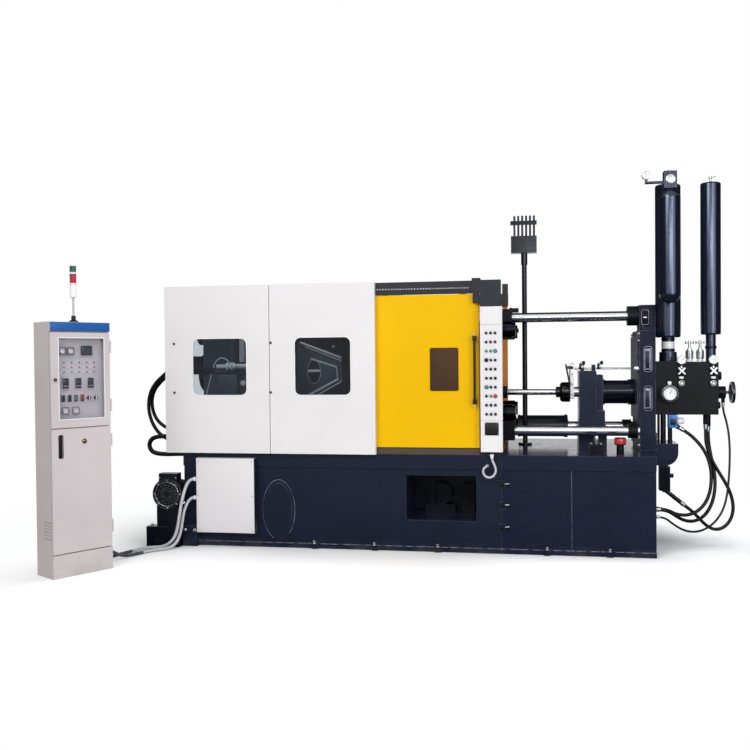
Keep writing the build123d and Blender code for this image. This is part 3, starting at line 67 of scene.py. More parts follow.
# Node helpers
SHARP = 0.0002  # half the width of a painted edge
BAND_TOP = 3.0  # height that a banded finish covers


def noise(tree, place, grain, detail=4.0):
    """Noise at its own grain along each axis, in waves a metre."""
    mapping = tree.nodes.new("ShaderNodeMapping")
    mapping.inputs["Scale"].default_value = grain
    tree.links.new(place, mapping.inputs["Vector"])
    cloud = tree.nodes.new("ShaderNodeTexNoise")
    cloud.inputs["Scale"].default_value = 1.0
    cloud.inputs["Detail"].default_value = detail
    tree.links.new(mapping.outputs["Vector"], cloud.inputs["Vector"])
    return cloud.outputs["Fac"]


def feed(tree, value, socket):
    """Link a socket, or set a plain number or colour."""
    if isinstance(value, bpy.types.NodeSocket):
        tree.links.new(value, socket)
    else:
        socket.default_value = value


def blend(tree, factor, first, second):
    """Mix two colours."""
    mix = tree.nodes.new("ShaderNodeMix")
    mix.data_type = "RGBA"
    feed(tree, factor, mix.inputs[0])
    feed(tree, first, mix.inputs[6])
    feed(tree, second, mix.inputs[7])
    return mix.outputs[2]


def ramp(tree, value, source, target):
    """Map one range of numbers onto another, clamped."""
    fit = tree.nodes.new("ShaderNodeMapRange")
    tree.links.new(value, fit.inputs["Value"])
    for socket, limit in zip(("From Min", "From Max", "To Min", "To Max"), (*source, *target)):
        fit.inputs[socket].default_value = limit
    return fit.outputs["Result"]


def maths(tree, kind, operation, *values):
    """Outputs of a maths node that is fed with sockets or plain values."""
    node = tree.nodes.new(kind)
    node.operation = operation
    for value, socket in zip(values, node.inputs):
        feed(tree, value, socket)
    return node.outputs


def multiply(tree, first, second):
    """Product of two masks."""
    return maths(tree, "ShaderNodeMath", "MULTIPLY", first, second)["Value"]


def along_axis(tree, place, axis):
    """One coordinate of a place."""
    split = tree.nodes.new("ShaderNodeSeparateXYZ")
    tree.links.new(place, split.inputs["Vector"])
    return split.outputs[axis]


def between(tree, place, low, high):
    """Mask of a stretch along X."""
    x = along_axis(tree, place, "X")
    starts = ramp(tree, x, (low - SHARP, low + SHARP), (0.0, 1.0))
    ends = ramp(tree, x, (high - SHARP, high + SHARP), (1.0, 0.0))
    return multiply(tree, starts, ends)


def distance_from(tree, place, centre, keep):
    """Distance from a point, along the kept axes only."""
    shift = maths(tree, "ShaderNodeVectorMath", "SUBTRACT", place, centre)["Vector"]
    kept = maths(tree, "ShaderNodeVectorMath", "MULTIPLY", shift, keep)["Vector"]
    return maths(tree, "ShaderNodeVectorMath", "LENGTH", kept)["Value"]


def rgba(colour):
    return (*colour, 1.0)


finish = {}


def surface(
    name, dark, light, rough, metallic=0.0, specular=0.5, coat=0.0, grain=3, peel=(420, 0.06),
    edge=None, soil=None, bands=None, rim=None, span=None, tint=(1, 1, 1), corner=0.0025,
):
    """A finish: mottled colour, uneven gloss, fine bump, edges in a tone of their own (worn paint and painted edge
    highlight) and dirt near the floor.
    """
    material = bpy.data.materials.new(name)
    material.use_nodes = True
    tree = material.node_tree
    shader = tree.nodes["Principled BSDF"]
    for socket, value in (
        ("Metallic", metallic), ("Specular IOR Level", specular), ("Specular Tint", rgba(tint)),
        ("Coat Weight", coat), ("Coat Roughness", 0.08),
    ):
        shader.inputs[socket].default_value = value
    place = tree.nodes.new("ShaderNodeTexCoord").outputs["Object"]
    if isinstance(grain, (int, float)):
        grain = (grain,) * 3
    cloud = ramp(tree, noise(tree, place, grain), (0.3, 0.7), (0.0, 1.0))
    colour = blend(tree, cloud, rgba(dark), rgba(light))
    if bands:
        steps = tree.nodes.new("ShaderNodeValToRGB")
        steps.color_ramp.interpolation = "CONSTANT"
        while len(steps.color_ramp.elements) < len(bands):
            steps.color_ramp.elements.new(0.5)
        for element, (height, tone) in zip(steps.color_ramp.elements, bands):
            element.position = height / BAND_TOP
            element.color = rgba(tone)
        height = ramp(tree, along_axis(tree, place, "Z"), (0.0, BAND_TOP), (0.0, 1.0))
        tree.links.new(height, steps.inputs["Fac"])
        shade = ramp(tree, noise(tree, place, grain), (0.3, 0.7), (0.0, 0.06))
        colour = blend(tree, shade, steps.outputs["Color"], rgba(dark))
    if rim:
        centre, keep, radius, tone = rim
        outside = ramp(tree, distance_from(tree, place, centre, keep), (radius, radius + 0.002), (0.0, 1.0))
        colour = blend(tree, outside, colour, rgba(tone))
    if span:
        low, high, tone = span
        colour = blend(tree, between(tree, place, low, high), colour, rgba(tone))
    if soil:
        tone, top = soil
        near_floor = ramp(tree, along_axis(tree, place, "Z"), (top, 0.0), (0.0, 0.6))
        patches = ramp(tree, noise(tree, place, (7, 7, 11), 6.0), (0.4, 0.68), (0.0, 1.0))
        colour = blend(tree, multiply(tree, near_floor, patches), colour, rgba(tone))
    bevel = tree.nodes.new("ShaderNodeBevel")
    bevel.samples = 4
    bevel.inputs["Radius"].default_value = corner
    # Edge tone broken up by noise: partly worn paint, partly painted highlight along the edges; the bright edge tones
    # of the dark finishes are mostly painted highlight
    if edge:
        geometry = tree.nodes.new("ShaderNodeNewGeometry")
        normals = (bevel.outputs["Normal"], geometry.outputs["Normal"])
        match = maths(tree, "ShaderNodeVectorMath", "DOT_PRODUCT", *normals)["Value"]
        bend = ramp(tree, match, (0.985, 0.86), (0.0, 0.75))
        edge_breakup = ramp(tree, noise(tree, place, (14, 14, 14), 5.0), (0.34, 0.58), (0.0, 1.0))
        colour = blend(tree, multiply(tree, bend, edge_breakup), colour, rgba(edge))
    tree.links.new(colour, shader.inputs["Base Color"])
    stretched = tuple(6 * g for g in grain)
    gloss = ramp(tree, noise(tree, place, stretched, 5.0), (0.3, 0.7), rough)
    tree.links.new(gloss, shader.inputs["Roughness"])
    bump = tree.nodes.new("ShaderNodeBump")
    bump.inputs["Strength"].default_value = peel[1]
    bump.inputs["Distance"].default_value = 0.001
    fine = tuple(peel[0] * g / max(grain) for g in grain)
    tree.links.new(noise(tree, place, fine, 2.0), bump.inputs["Height"])
    tree.links.new(bevel.outputs["Normal"], bump.inputs["Normal"])
    tree.links.new(bump.outputs["Normal"], shader.inputs["Normal"])
    finish[name] = material


NAVY = (0.0072, 0.0108, 0.025)
NAVY_LIGHT = (0.0092, 0.0134, 0.03)
DUST = (0.075, 0.07, 0.068)
# Lilac edge tone of the navy finishes: partly worn paint, partly painted edge highlight
WORN_AND_LIT_EDGE = (0.14, 0.15, 0.2)
surface(
    "navy_paint", NAVY, NAVY_LIGHT, (0.27, 0.33), specular=0.22,
    grain=1.8, peel=(170, 0.05), edge=WORN_AND_LIT_EDGE, soil=(DUST, 0.07), corner=0.004,
)
surface(
    "dark_paint", (0.0022, 0.0028, 0.006), (0.0045, 0.0056, 0.0115), (0.14, 0.24), specular=0.26,
    grain=3, peel=(120, 0.02), edge=(0.07, 0.075, 0.1),
)
surface(
    "slate_paint", (0.014, 0.018, 0.022), (0.021, 0.026, 0.031), (0.38, 0.52), specular=0.2,
    grain=5, peel=(500, 0.1), edge=(0.15, 0.15, 0.16),
)
surface(
    "white_paint", (0.68, 0.66, 0.655), (0.725, 0.71, 0.705), (0.34, 0.46), specular=0.4,
    grain=1.3, peel=(620, 0.09), edge=(0.6, 0.58, 0.56), soil=((0.5, 0.48, 0.45), 0.25),
)
surface(
    "yellow_paint", (0.73, 0.41, 0.0004), (0.785, 0.455, 0.001), (0.34, 0.46), specular=0.1,
    grain=1.2, peel=(600, 0.08), edge=(0.62, 0.36, 0.02),
)
surface(
    "orange_paint", (0.58, 0.235, 0.045), (0.68, 0.295, 0.065), (0.34, 0.5), specular=0.25,
    grain=3, peel=(420, 0.1), edge=(0.3, 0.13, 0.04),
)
surface(
    "hard_chrome", (0.7, 0.7, 0.71), (0.78, 0.78, 0.79), (0.1, 0.2), metallic=1.0,
    grain=(60, 2, 2), peel=(900, 0.03),
)
surface(
    "bright_steel", (0.46, 0.46, 0.48), (0.6, 0.6, 0.61), (0.22, 0.38), metallic=1.0,
    grain=(30, 5, 5), peel=(800, 0.08), edge=(0.8, 0.8, 0.8),
)
surface(
    "cast_steel", (0.013, 0.018, 0.036), (0.024, 0.031, 0.058), (0.28, 0.42), specular=0.35,
    grain=6, peel=(170, 0.15), edge=(0.55, 0.57, 0.62),
)
surface(
    "black_plastic", (0.006, 0.006, 0.007), (0.011, 0.011, 0.012), (0.3, 0.44), specular=0.3,
    grain=9, peel=(700, 0.12), edge=(0.06, 0.06, 0.065),
)
surface(
    "grey_plastic", (0.5, 0.475, 0.5), (0.57, 0.54, 0.565), (0.4, 0.5), specular=0.4,
    grain=8, peel=(650, 0.1),
)
surface(
    "clear_panel", (0.06, 0.07, 0.08), (0.1, 0.11, 0.12), (0.03, 0.12), specular=0.5,
    grain=5, peel=(60, 0.01),
)
surface(
    "cabinet_glass", (0.3, 0.3, 0.32), (0.4, 0.4, 0.42), (0.03, 0.12), grain=5, peel=(60, 0.01),
)
surface(
    "deck_navy", NAVY, NAVY_LIGHT, (0.15, 0.21), specular=0.4, grain=2.2, peel=(60, 0.015),
    tint=(0.8, 0.78, 1.0), edge=WORN_AND_LIT_EDGE, soil=(DUST, 0.07), corner=0.004,
)
# The dark strip on the box's right side face (span) is painted shade
surface(
    "box_paint_with_painted_shade", (0.66, 0.64, 0.64), (0.705, 0.69, 0.69), (0.34, 0.46), specular=0.3, grain=2,
    peel=(620, 0.09), edge=(0.6, 0.58, 0.56), soil=((0.5, 0.48, 0.45), 0.2),
    span=(-1.5162, -1.5, (0.012, 0.014, 0.02)),
)
surface(
    "hose_rubber", (0.0025, 0.0025, 0.0028), (0.0055, 0.0055, 0.006), (0.34, 0.5), specular=0.25,
    grain=22, peel=(900, 0.3),
)
surface(
    "grey_conduit", (0.02, 0.02, 0.022), (0.085, 0.085, 0.09), (0.22, 0.34), specular=0.5,
    grain=12, peel=(500, 0.12), rim=((-2.37, -1.3, 0.0), (1, 1, 1), 0.33, (0.47, 0.47, 0.49)),
)
surface(
    "cabinet_paint", (0.53, 0.478, 0.482), (0.585, 0.532, 0.535), (0.36, 0.48), specular=0.35,
    grain=2, peel=(620, 0.09), edge=(0.5, 0.46, 0.46), soil=((0.42, 0.38, 0.36), 0.22),
)
# The lighter strip across the face plate (span) is a painted highlight
surface(
    "frame_paint_with_painted_highlight", (0.008, 0.0105, 0.022), (0.016, 0.0195, 0.037), (0.5, 0.62), specular=0.08,
    grain=4, peel=(170, 0.05), edge=(0.3, 0.31, 0.38), span=(1.184, 1.1999, (0.03, 0.031, 0.046)),
    corner=0.006,
)
surface(
    "bottle_paint", (0.004, 0.0055, 0.012), (0.007, 0.009, 0.0185), (0.16, 0.24), specular=0.95,
    grain=(9, 9, 2), peel=(120, 0.03), edge=(0.25, 0.26, 0.32), tint=(0.66, 0.74, 1.0), corner=0.005,
)
surface(
    "block_paint", (0.003, 0.0034, 0.0045), (0.006, 0.0068, 0.009), (0.34, 0.48), specular=0.12,
    grain=9, peel=(220, 0.1), edge=(0.09, 0.09, 0.11), corner=0.004,
)
surface(
    "block_navy", (0.006, 0.009, 0.023), (0.01, 0.014, 0.033), (0.26, 0.4), specular=0.2,
    grain=6, peel=(170, 0.06), edge=(0.34, 0.35, 0.42), corner=0.004,
)
# Lighter copy of the navy paint for parts seen behind the windows: painted light; its bright edge tone is painted
# highlight
surface(
    "painted_light_navy", (0.05, 0.06, 0.086), (0.09, 0.102, 0.135), (0.34, 0.5), specular=0.3,
    grain=6, peel=(170, 0.12), edge=(0.55, 0.57, 0.62), corner=0.004,
)
surface(
    "inner_dark", (0.012, 0.013, 0.018), (0.03, 0.029, 0.031), (0.34, 0.5), specular=0.2, grain=9,
    edge=(0.1, 0.1, 0.12),
)
surface(
    "rail_paint", (0.006, 0.006, 0.008), (0.011, 0.011, 0.014), (0.3, 0.44), specular=0.3,
    grain=5, peel=(300, 0.06), edge=(0.1, 0.1, 0.11),
    bands=((0.0, (0.075, 0.052, 0.036)), (0.75, (0.007, 0.007, 0.009)), (1.797, (0.01, 0.009, 0.011))),
)
surface(
    "rod_and_coupling", (0.66, 0.66, 0.67), (0.74, 0.74, 0.75), (0.1, 0.18), metallic=1.0,
    grain=(60, 2, 2), peel=(900, 0.03), span=(0.615, 0.7245, (0.03, 0.031, 0.036)),
)
surface(
    "bar_and_nut", (0.66, 0.66, 0.67), (0.74, 0.74, 0.75), (0.12, 0.22), metallic=1.0,
    grain=(60, 2, 2), peel=(900, 0.03), span=(0.199, 0.34, (0.022, 0.023, 0.028)),
)
# Light lilac finish for thin strips, rims and arcs on dark parts: painted highlight
surface(
    "painted_highlight", (0.1, 0.105, 0.15), (0.36, 0.365, 0.42), (0.28, 0.42), grain=26,
)
surface(
    "blue_paint", (0.012, 0.082, 0.29), (0.018, 0.105, 0.34), (0.3, 0.42), specular=0.25, grain=4,
    edge=(0.1, 0.2, 0.42),
)
surface(
    "brass", (0.6, 0.42, 0.13), (0.72, 0.52, 0.2), (0.2, 0.34), metallic=1.0, grain=30,
)
surface(
    "lamp_lens", (0.6, 0.6, 0.6), (0.75, 0.75, 0.75), (0.2, 0.3), specular=0.2,
    grain=20, peel=(300, 0.05),
    bands=(
        (0.0, (0.45, 0.45, 0.46)), (1.764, (0.78, 0.78, 0.78)), (1.847, (0.36, 0.008, 0.03)),
        (1.9065, (0.7, 0.7, 0.7)), (1.9115, (0.004, 0.1, 0.048)),
    ),
)
surface(
    "wheel_paint", (0.02, 0.02, 0.022), (0.045, 0.045, 0.048), (0.2, 0.32), grain=20,
    rim=((0, -0.12, 1.088), (0, 1, 1), 0.057, (0.008, 0.008, 0.009)),
)
surface(
    "white_enamel", (0.76, 0.76, 0.76), (0.84, 0.84, 0.84), (0.2, 0.32), coat=0.3, grain=30,
)
surface(
    "blue_plastic", (0.012, 0.105, 0.36), (0.018, 0.14, 0.45), (0.28, 0.4), grain=25,
)
surface(
    "red_plastic", (0.4, 0.02, 0.02), (0.5, 0.036, 0.034), (0.2, 0.32), coat=0.3, grain=30,
)
surface(
    "green_plastic", (0.03, 0.17, 0.12), (0.055, 0.23, 0.165), (0.2, 0.32), coat=0.3,
    grain=30,
)
surface(
    "screen", (0.02, 0.026, 0.04), (0.045, 0.055, 0.08), (0.08, 0.16), coat=0.5, grain=18,
)

# The clear sheets let tinted light through
for name, tone in (("clear_panel", (0.75, 0.785, 0.81, 1)), ("cabinet_glass", (0.95, 0.95, 0.96, 1))):
    sheet = finish[name].node_tree
    tint = sheet.nodes.new("ShaderNodeBsdfTransparent")
    tint.inputs["Color"].default_value = tone
    haze = sheet.nodes.new("ShaderNodeMixShader")
    haze.inputs[0].default_value = 0.09 if name == "clear_panel" else 0.05
    sheet.links.new(tint.outputs["BSDF"], haze.inputs[1])
    sheet.links.new(sheet.nodes["Principled BSDF"].outputs["BSDF"], haze.inputs[2])
    sheet.links.new(haze.outputs["Shader"], sheet.nodes["Material Output"].inputs["Surface"])

# Carried nodes
own_finish = {
    "moving_platen": "navy_paint", "cabinet_body": "cabinet_paint", "cabinet_upper_door": "cabinet_paint",
    "cabinet_lower_door": "cabinet_paint", "stack_light": "lamp_lens", "handwheel": "wheel_paint",
    "door_rails": "rail_paint", "shot_rod": "rod_and_coupling", "tie_bars": "bar_and_nut",
    # injection_frame's finish carries a painted highlight strip
    "injection_frame": "frame_paint_with_painted_highlight", "accumulator": "bottle_paint", "nitrogen_bottle": "bottle_paint",
    "rear_accumulator": "bottle_paint", "accumulator_block": "block_paint", "valve_manifold": "block_paint",
    # rear_platen takes the lighter navy copy: painted light
    "shot_block": "block_navy", "rear_platen": "painted_light_navy", "rod_clamps": "block_paint",
    "cover_posts": "block_paint", "cabinet_window": "cabinet_glass", "injection_bed": "deck_navy",
    # junction_box's finish carries painted shade on its side face
    "junction_box": "box_paint_with_painted_shade",
}
for part in frame["record"]["subparts"]:
    chosen = finish[own_finish.get(part["node"], part["material_slot"])]
    for holder in frame["nodes"][part["node"]].material_slots:
        holder.material = chosen

# Hoses and conduits
cords = {  # radius and length in m, points in mm
    "manifold_hose": (
        0.012, 1.163, "medium", "hanging",
        [(1668, -120, 861), (1668, -120, 797), (1668, -126, 732), (1684, -134, 664), (1712, -141, 594),
         (1748, -147, 528), (1786, -152, 464), (1820, -156, 398), (1842, -160, 326), (1846, -168, 250),
         (1822, -176, 178), (1774, -184, 128), (1712, -191, 116), (1655, -198, 148), (1608, -206, 198),
         (1565, -212, 244), (1520, -217, 280), (1478, -220, 314)],
    ),
    "upper_return_hose": (
        0.012, 1.006, "medium", "hanging",
        [(1482, -160, 837), (1536, -172, 804), (1592, -182, 752), (1640, -192, 690), (1673, -204, 618),
         (1688, -216, 540), (1687, -228, 460), (1674, -240, 384), (1643, -252, 313), (1592, -264, 260),
         (1526, -276, 230), (1446, -288, 234), (1366, -300, 276), (1290, -300, 276)],
    ),
    "lower_return_hose": (
        0.012, 1.069, "medium", "hanging",
        [(1695, -60, 843), (1695, -60, 772), (1699, -76, 698), (1710, -98, 620), (1723, -122, 545),
         (1728, -142, 468), (1722, -164, 392), (1702, -192, 318), (1664, -226, 250), (1608, -258, 202),
         (1540, -286, 186), (1470, -310, 206), (1412, -338, 248), (1354, -360, 280), (1290, -360, 280)],
    ),
    "bed_hose": (
        0.0075, 1.359, "medium", "hanging",
        [(1786, -120, 1016), (1786, -120, 960), (1804, -124, 898), (1817, -134, 830), (1822, -150, 758),
         (1822, -168, 684), (1818, -186, 608), (1812, -200, 530), (1804, -214, 454), (1792, -232, 380),
         (1774, -252, 310), (1744, -272, 246), (1700, -292, 190), (1644, -316, 150), (1580, -340, 128),
         (1512, -362, 130), (1450, -384, 156), (1394, -406, 196), (1342, -420, 239), (1279, -420, 239)],
    ),
    "clamp_hose_outer": (
        0.0135, 1.083, "stiff", "hanging",
        [(-2120, -340, 1352), (-2180, -340, 1352), (-2242, -340, 1322), (-2300, -340, 1276), (-2362, -340, 1226),
         (-2421, -340, 1172), (-2462, -340, 1102), (-2477, -340, 1020), (-2471, -340, 936), (-2440, -340, 850),
         (-2382, -340, 776), (-2298, -340, 732), (-2195, -340, 720), (-2100, -340, 720)],
    ),
    "clamp_hose_inner": (
        0.0135, 0.99, "stiff", "hanging",
        [(-2120, -290, 1310), (-2185, -290, 1310), (-2252, -290, 1290), (-2320, -290, 1248), (-2388, -290, 1192),
         (-2445, -290, 1130), (-2470, -290, 1058), (-2468, -290, 976), (-2442, -290, 904), (-2394, -290, 852),
         (-2330, -290, 818), (-2256, -290, 803), (-2178, -290, 800), (-2100, -290, 800)],
    ),
    "clamp_hose_lower": (
        0.017, 0.761, "stiff", "hanging",
        [(-2100, -400, 770), (-2162, -400, 770), (-2236, -400, 772), (-2312, -400, 773), (-2385, -400, 768),
         (-2431, -400, 749), (-2450, -400, 703), (-2431, -400, 657), (-2385, -400, 638), (-2312, -400, 634),
         (-2236, -400, 637), (-2164, -400, 639), (-2100, -400, 639)],
    ),
    "cabinet_conduit_front": (
        0.011, 1.008, "stiff", "loose",
        [(-1964, -685, 353), (-1988, -685, 353), (-2006, -700, 340), (-2020, -718, 312), (-2030, -738, 272),
         (-2036, -752, 228), (-2040, -761, 180), (-2046, -766, 132), (-2056, -772, 88), (-2070, -783, 50),
         (-2088, -808, 24), (-2111, -843, 12), (-2146, -880, 12), (-2188, -918, 12), (-2224, -974, 12),
         (-2252, -1026, 12), (-2276, -1082, 12), (-2304, -1134, 16), (-2326, -1184, 34), (-2338, -1232, 62),
         (-2345.2, -1277.7, 80), (-2371.7, -1320.1, 80)],
    ),
    "cabinet_conduit_rear": (
        0.011, 1.19, "stiff", "loose",
        [(-1964, -685, 488), (-1989, -685, 488), (-2008, -703, 475), (-2018, -729, 446), (-2023, -754, 408),
         (-2029, -776, 358), (-2038, -788, 300), (-2046, -793, 240), (-2054, -796, 182), (-2066, -798, 126),
         (-2086, -801, 76), (-2120, -804, 38), (-2168, -809, 14), (-2224, -820, 12), (-2274, -848, 12),
         (-2308, -894, 12), (-2328, -950, 12), (-2344, -1010, 12), (-2366, -1066, 12), (-2388, -1118, 12),
         (-2391, -1168, 15), (-2378, -1214, 28), (-2367.2, -1263.9, 40), (-2393.7, -1306.3, 40)],
    ),
    "panel_conduit": (
        0.008, 0.32, "stiff", "hanging",
        [(177, -687, 684), (177, -687, 656), (187, -687, 630), (200, -688, 604), (204, -690, 576), (194, -692, 549),
         (172, -694, 532), (146, -696, 531), (125, -698, 546), (116, -700, 570), (121, -704, 596), (146, -704, 612),
         (146, -674, 612)],
    ),
}


def metres(points):
    """Points in metres from points in millimetres."""
    return [tuple(value / 1000 for value in point) for point in points]


for name, (radius, length, stiffness, lay, points) in cords.items():
    points = metres(points)
    curve = bpy.data.curves.new(name + "_line", "CURVE")
    curve.dimensions = "3D"
    curve.bevel_depth = radius
    curve.bevel_resolution = 5
    curve.resolution_u = 12
    curve.use_fill_caps = True
    spline = curve.splines.new("NURBS")
    spline.points.add(len(points) - 1)
    for control, point in zip(spline.points, points):
        control.co = (*point, 1.0)
    spline.order_u = 3
    spline.use_endpoint_u = True
    slot = "grey_conduit" if "conduit" in name else "hose_rubber"
    curve.materials.append(finish[slot])
    line = add(name + "_line", curve)
    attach(line, "machine")
    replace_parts(line, name)


FRONT = (0, -1, 0)
UP = (0, 0, 1)
ALONG = (1, 0, 0)
STEEL, WHITE, BLACK = "bright_steel", "white_enamel", "black_plastic"
# The first of these is the light strip finish: painted highlight
PAINTED_HIGHLIGHT, YELLOW, BLOCK = "painted_highlight", "yellow_paint", "block_paint"
MOTOR_X, MOTOR_Z = -2.154, 0.384
OVAL_X, OVAL_Z = -1.351, 0.27
CHEEK_FACE = -0.4005
BED_FACE = (-0.6352, -0.6335)
STUD_PITCH = 0.0204


# Mesh helpers
class Shape:
    """One piece, put together from edged blocks, turned forms and rings."""

    def __init__(self):
        self.mesh = bmesh.new()
        self.finishes = []

    def _take(self, made, name):
        if name not in self.finishes:
            self.finishes.append(name)
        for face in made.faces:
            face.material_index = self.finishes.index(name)
        bmesh.ops.recalc_face_normals(made, faces=made.faces)
        carrier = bpy.data.meshes.new("carrier")
        made.to_mesh(carrier)
        made.free()
        self.mesh.from_mesh(carrier)
        bpy.data.meshes.remove(carrier)

    def block(self, x, y, z, name, edge=0.001, tilt=0.0):
        """A box with rounded edges, which may be tilted about Y."""
        made = bmesh.new()
        bmesh.ops.create_cube(made, size=1.0)
        size = (x[1] - x[0], y[1] - y[0], z[1] - z[0])
        middle = ((x[0] + x[1]) / 2, (y[0] + y[1]) / 2, (z[0] + z[1]) / 2)
        bmesh.ops.scale(made, vec=size, verts=made.verts)
        bmesh.ops.bevel(made, geom=made.edges[:], offset=edge, segments=2, profile=0.5, affect="EDGES")
        place = Matrix.Translation(middle) @ Matrix.Rotation(radians(tilt), 4, "Y")
        bmesh.ops.transform(made, matrix=place, verts=made.verts)
        self._take(made, name)

    def turned(self, base, axis, profile, name, sides=32):
        """A form turned about an axis, from (radius, height) pairs."""
        made = bmesh.new()
        rings = []
        for radius, height in profile:
            if radius == 0:
                rings.append([made.verts.new((0, 0, height))])
                continue
            steps = [2 * pi * i / sides for i in range(sides)]
            rings.append([made.verts.new((radius * cos(a), radius * sin(a), height)) for a in steps])
        for low, high in zip(rings, rings[1:]):
            for i in range(sides):
                j = (i + 1) % sides
                corners = [low[i % len(low)], low[j % len(low)], high[j % len(high)], high[i % len(high)]]
                made.faces.new(list(dict.fromkeys(corners)))
        spin = Vector(axis).to_track_quat("Z", "Y").to_matrix().to_4x4()
        bmesh.ops.transform(made, matrix=Matrix.Translation(base) @ spin, verts=made.verts)
        self._take(made, name)

    def pipe(self, points, radius, name, sides=14):
        """A bent tube along points."""
        for first, second in zip(points, points[1:]):
            along = Vector(second) - Vector(first)
            profile = [
                (0, -radius), (radius * 0.8, -radius * 0.6), (radius, 0), (radius, along.length),
                (radius * 0.8, along.length + radius * 0.6), (0, along.length + radius),
            ]
            self.turned(first, along, profile, name, sides)

    def plate(self, outline, y, name, edge=0.002):
        """A flat plate with this outline in X and Z."""
        made = bmesh.new()
        face = made.faces.new([made.verts.new((x, y[1], z)) for x, z in outline])
        grown = bmesh.ops.extrude_face_region(made, geom=[face])
        moved = [item for item in grown["geom"] if isinstance(item, bmesh.types.BMVert)]
        bmesh.ops.translate(made, vec=(0, y[0] - y[1], 0), verts=moved)
        bmesh.ops.bevel(made, geom=made.edges[:], offset=edge, segments=2, profile=0.5, affect="EDGES")
        self._take(made, name)

    def screw(self, base, axis, radius, name=STEEL):
        """A socket-head screw."""
        head = radius * 0.7
        profile = [(radius, 0), (radius, head), (radius * 0.85, head * 1.2), (radius * 0.5, head * 1.2)]
        self.turned(base, axis, profile + [(radius * 0.5, head * 0.4), (0, head * 0.4)], name, 12)

    def nut(self, base, axis, radius, tall, name=STEEL):
        """A hexagon nut with a washer."""
        self.turned(base, axis, [(radius * 1.25, 0), (radius * 1.25, tall * 0.15), (0, tall * 0.15)], name, 20)
        profile = [(radius, 0), (radius, tall * 0.9), (radius * 0.86, tall), (0, tall)]
        self.turned(base, axis, profile, name, 6)

    def frame_ring(self, x, z, y, corner, width, name):
        """A flat rounded frame round an opening in a face towards the operator."""
        made = bmesh.new()
        outlines = []
        for grow, depth in ((0, y[1]), (0, y[0]), (width, y[0]), (width, y[1])):
            outline = []
            bend = corner + grow
            for centre_x, centre_z, start in (
                (x[1] - corner, z[1] - corner, 0), (x[0] + corner, z[1] - corner, 90),
                (x[0] + corner, z[0] + corner, 180), (x[1] - corner, z[0] + corner, 270),
            ):
                for step in range(9):
                    a = radians(start + 90 * step / 8)
                    outline.append(made.verts.new((centre_x + bend * cos(a), depth, centre_z + bend * sin(a))))
            outlines.append(outline)
        count = len(outlines[0])
        for first, second in zip(outlines, outlines[1:] + outlines[:1]):
            for i in range(count):
                j = (i + 1) % count
                made.faces.new((first[i], first[j], second[j], second[i]))
        self._take(made, name)

    def done(self, name, body, place=None):
        """Make the object and let it ride on a body."""
        mesh = bpy.data.meshes.new(name)
        self.mesh.to_mesh(mesh)
        self.mesh.free()
        if place:
            mesh.transform(place)
        for used in self.finishes:
            mesh.materials.append(finish[used])
        for face in mesh.polygons:
            face.use_smooth = True
        mesh.set_sharp_from_angle(angle=radians(32))
        piece = add(name, mesh)
        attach(piece, body)
        return piece


def bead(inner, outer, tall, edge):
    """Profile of a collar with sloped ends."""
    return [(inner, 0), (outer, edge), (outer, tall - edge), (inner, tall)]


def dial(shape, centre, axis, radius, needle=40, ticks=12):
    """A gauge face with scale marks and a needle, inside a raised rim."""
    rim = [(radius, -0.002), (radius, 0.003), (radius * 0.9, 0.003), (radius * 0.88, 0.0005)]
    shape.turned(centre, axis, rim, STEEL, 40)
    shape.turned(centre, axis, [(radius * 0.89, 0.0008), (0, 0.0008)], WHITE, 40)
    away = Vector(axis).normalized()
    side = Vector(UP).cross(away).normalized()
    hand = radians(needle)
    middle = Vector(centre) + away * 0.0016
    for tick in range(ticks):
        a = radians(-45 + 270 * tick / (ticks - 1))
        spot = middle + (side * cos(a) + Vector(UP) * sin(a)) * radius * 0.74
        shape.turned(spot - away * 0.0008, axis, [(radius * 0.045, 0), (radius * 0.045, 0.001), (0, 0.001)], BLACK, 6)
    for step in range(7):
        spot = middle + (side * cos(hand) + Vector(UP) * sin(hand)) * radius * (0.09 * step)
        shape.turned(spot - away * 0.0008, axis, [(radius * 0.05, 0), (radius * 0.05, 0.0012), (0, 0.0012)], BLACK, 8)


# Covers
covers = Shape()
for x, z in ((-2.109, 1.47), (-2.109, 1.116), (-1.38, 1.47), (-1.383, 1.117)):
    covers.screw((x, -0.7, z), FRONT, 0.0085, BLACK)
for left, right in ((-1.964, -1.564), (-1.203, -0.803)):
    covers.frame_ring((left, right), (1.099, 1.503), (-0.7015, -0.698), 0.04, 0.006, WHITE)
covers.done("cover_trim", "machine")

# Parts behind the windows
inner = Shape()
rod = [(0.0175, 0), (0.0175, 0.075), (0.03, 0.077), (0.03, 0.095), (0.0175, 0.097), (0.0175, 0.11)]
rod += [(0.03, 0.112), (0.03, 0.132), (0.0175, 0.134), (0.0175, 0.255)]
inner.turned((-1.887, -0.42, 1.302), ALONG, [(0, 0)] + rod + [(0, 0.255)], WHITE, 24)
inner.turned(
    (-2.15, -0.42, 1.2685), ALONG, [(0, 0), (0.024, 0), (0.026, 0.01), (0.026, 0.245), (0, 0.25)], "inner_dark", 24,
)
inner.pipe(
    [(-1.985, -0.425, 1.03), (-1.968, -0.425, 1.1), (-1.922, -0.425, 1.262), (-1.905, -0.425, 1.318),
     (-1.886, -0.425, 1.347), (-1.862, -0.425, 1.364), (-1.836, -0.425, 1.366), (-1.81, -0.425, 1.356),
     (-1.79, -0.425, 1.335), (-1.78, -0.425, 1.31)], 0.0065, WHITE,
)
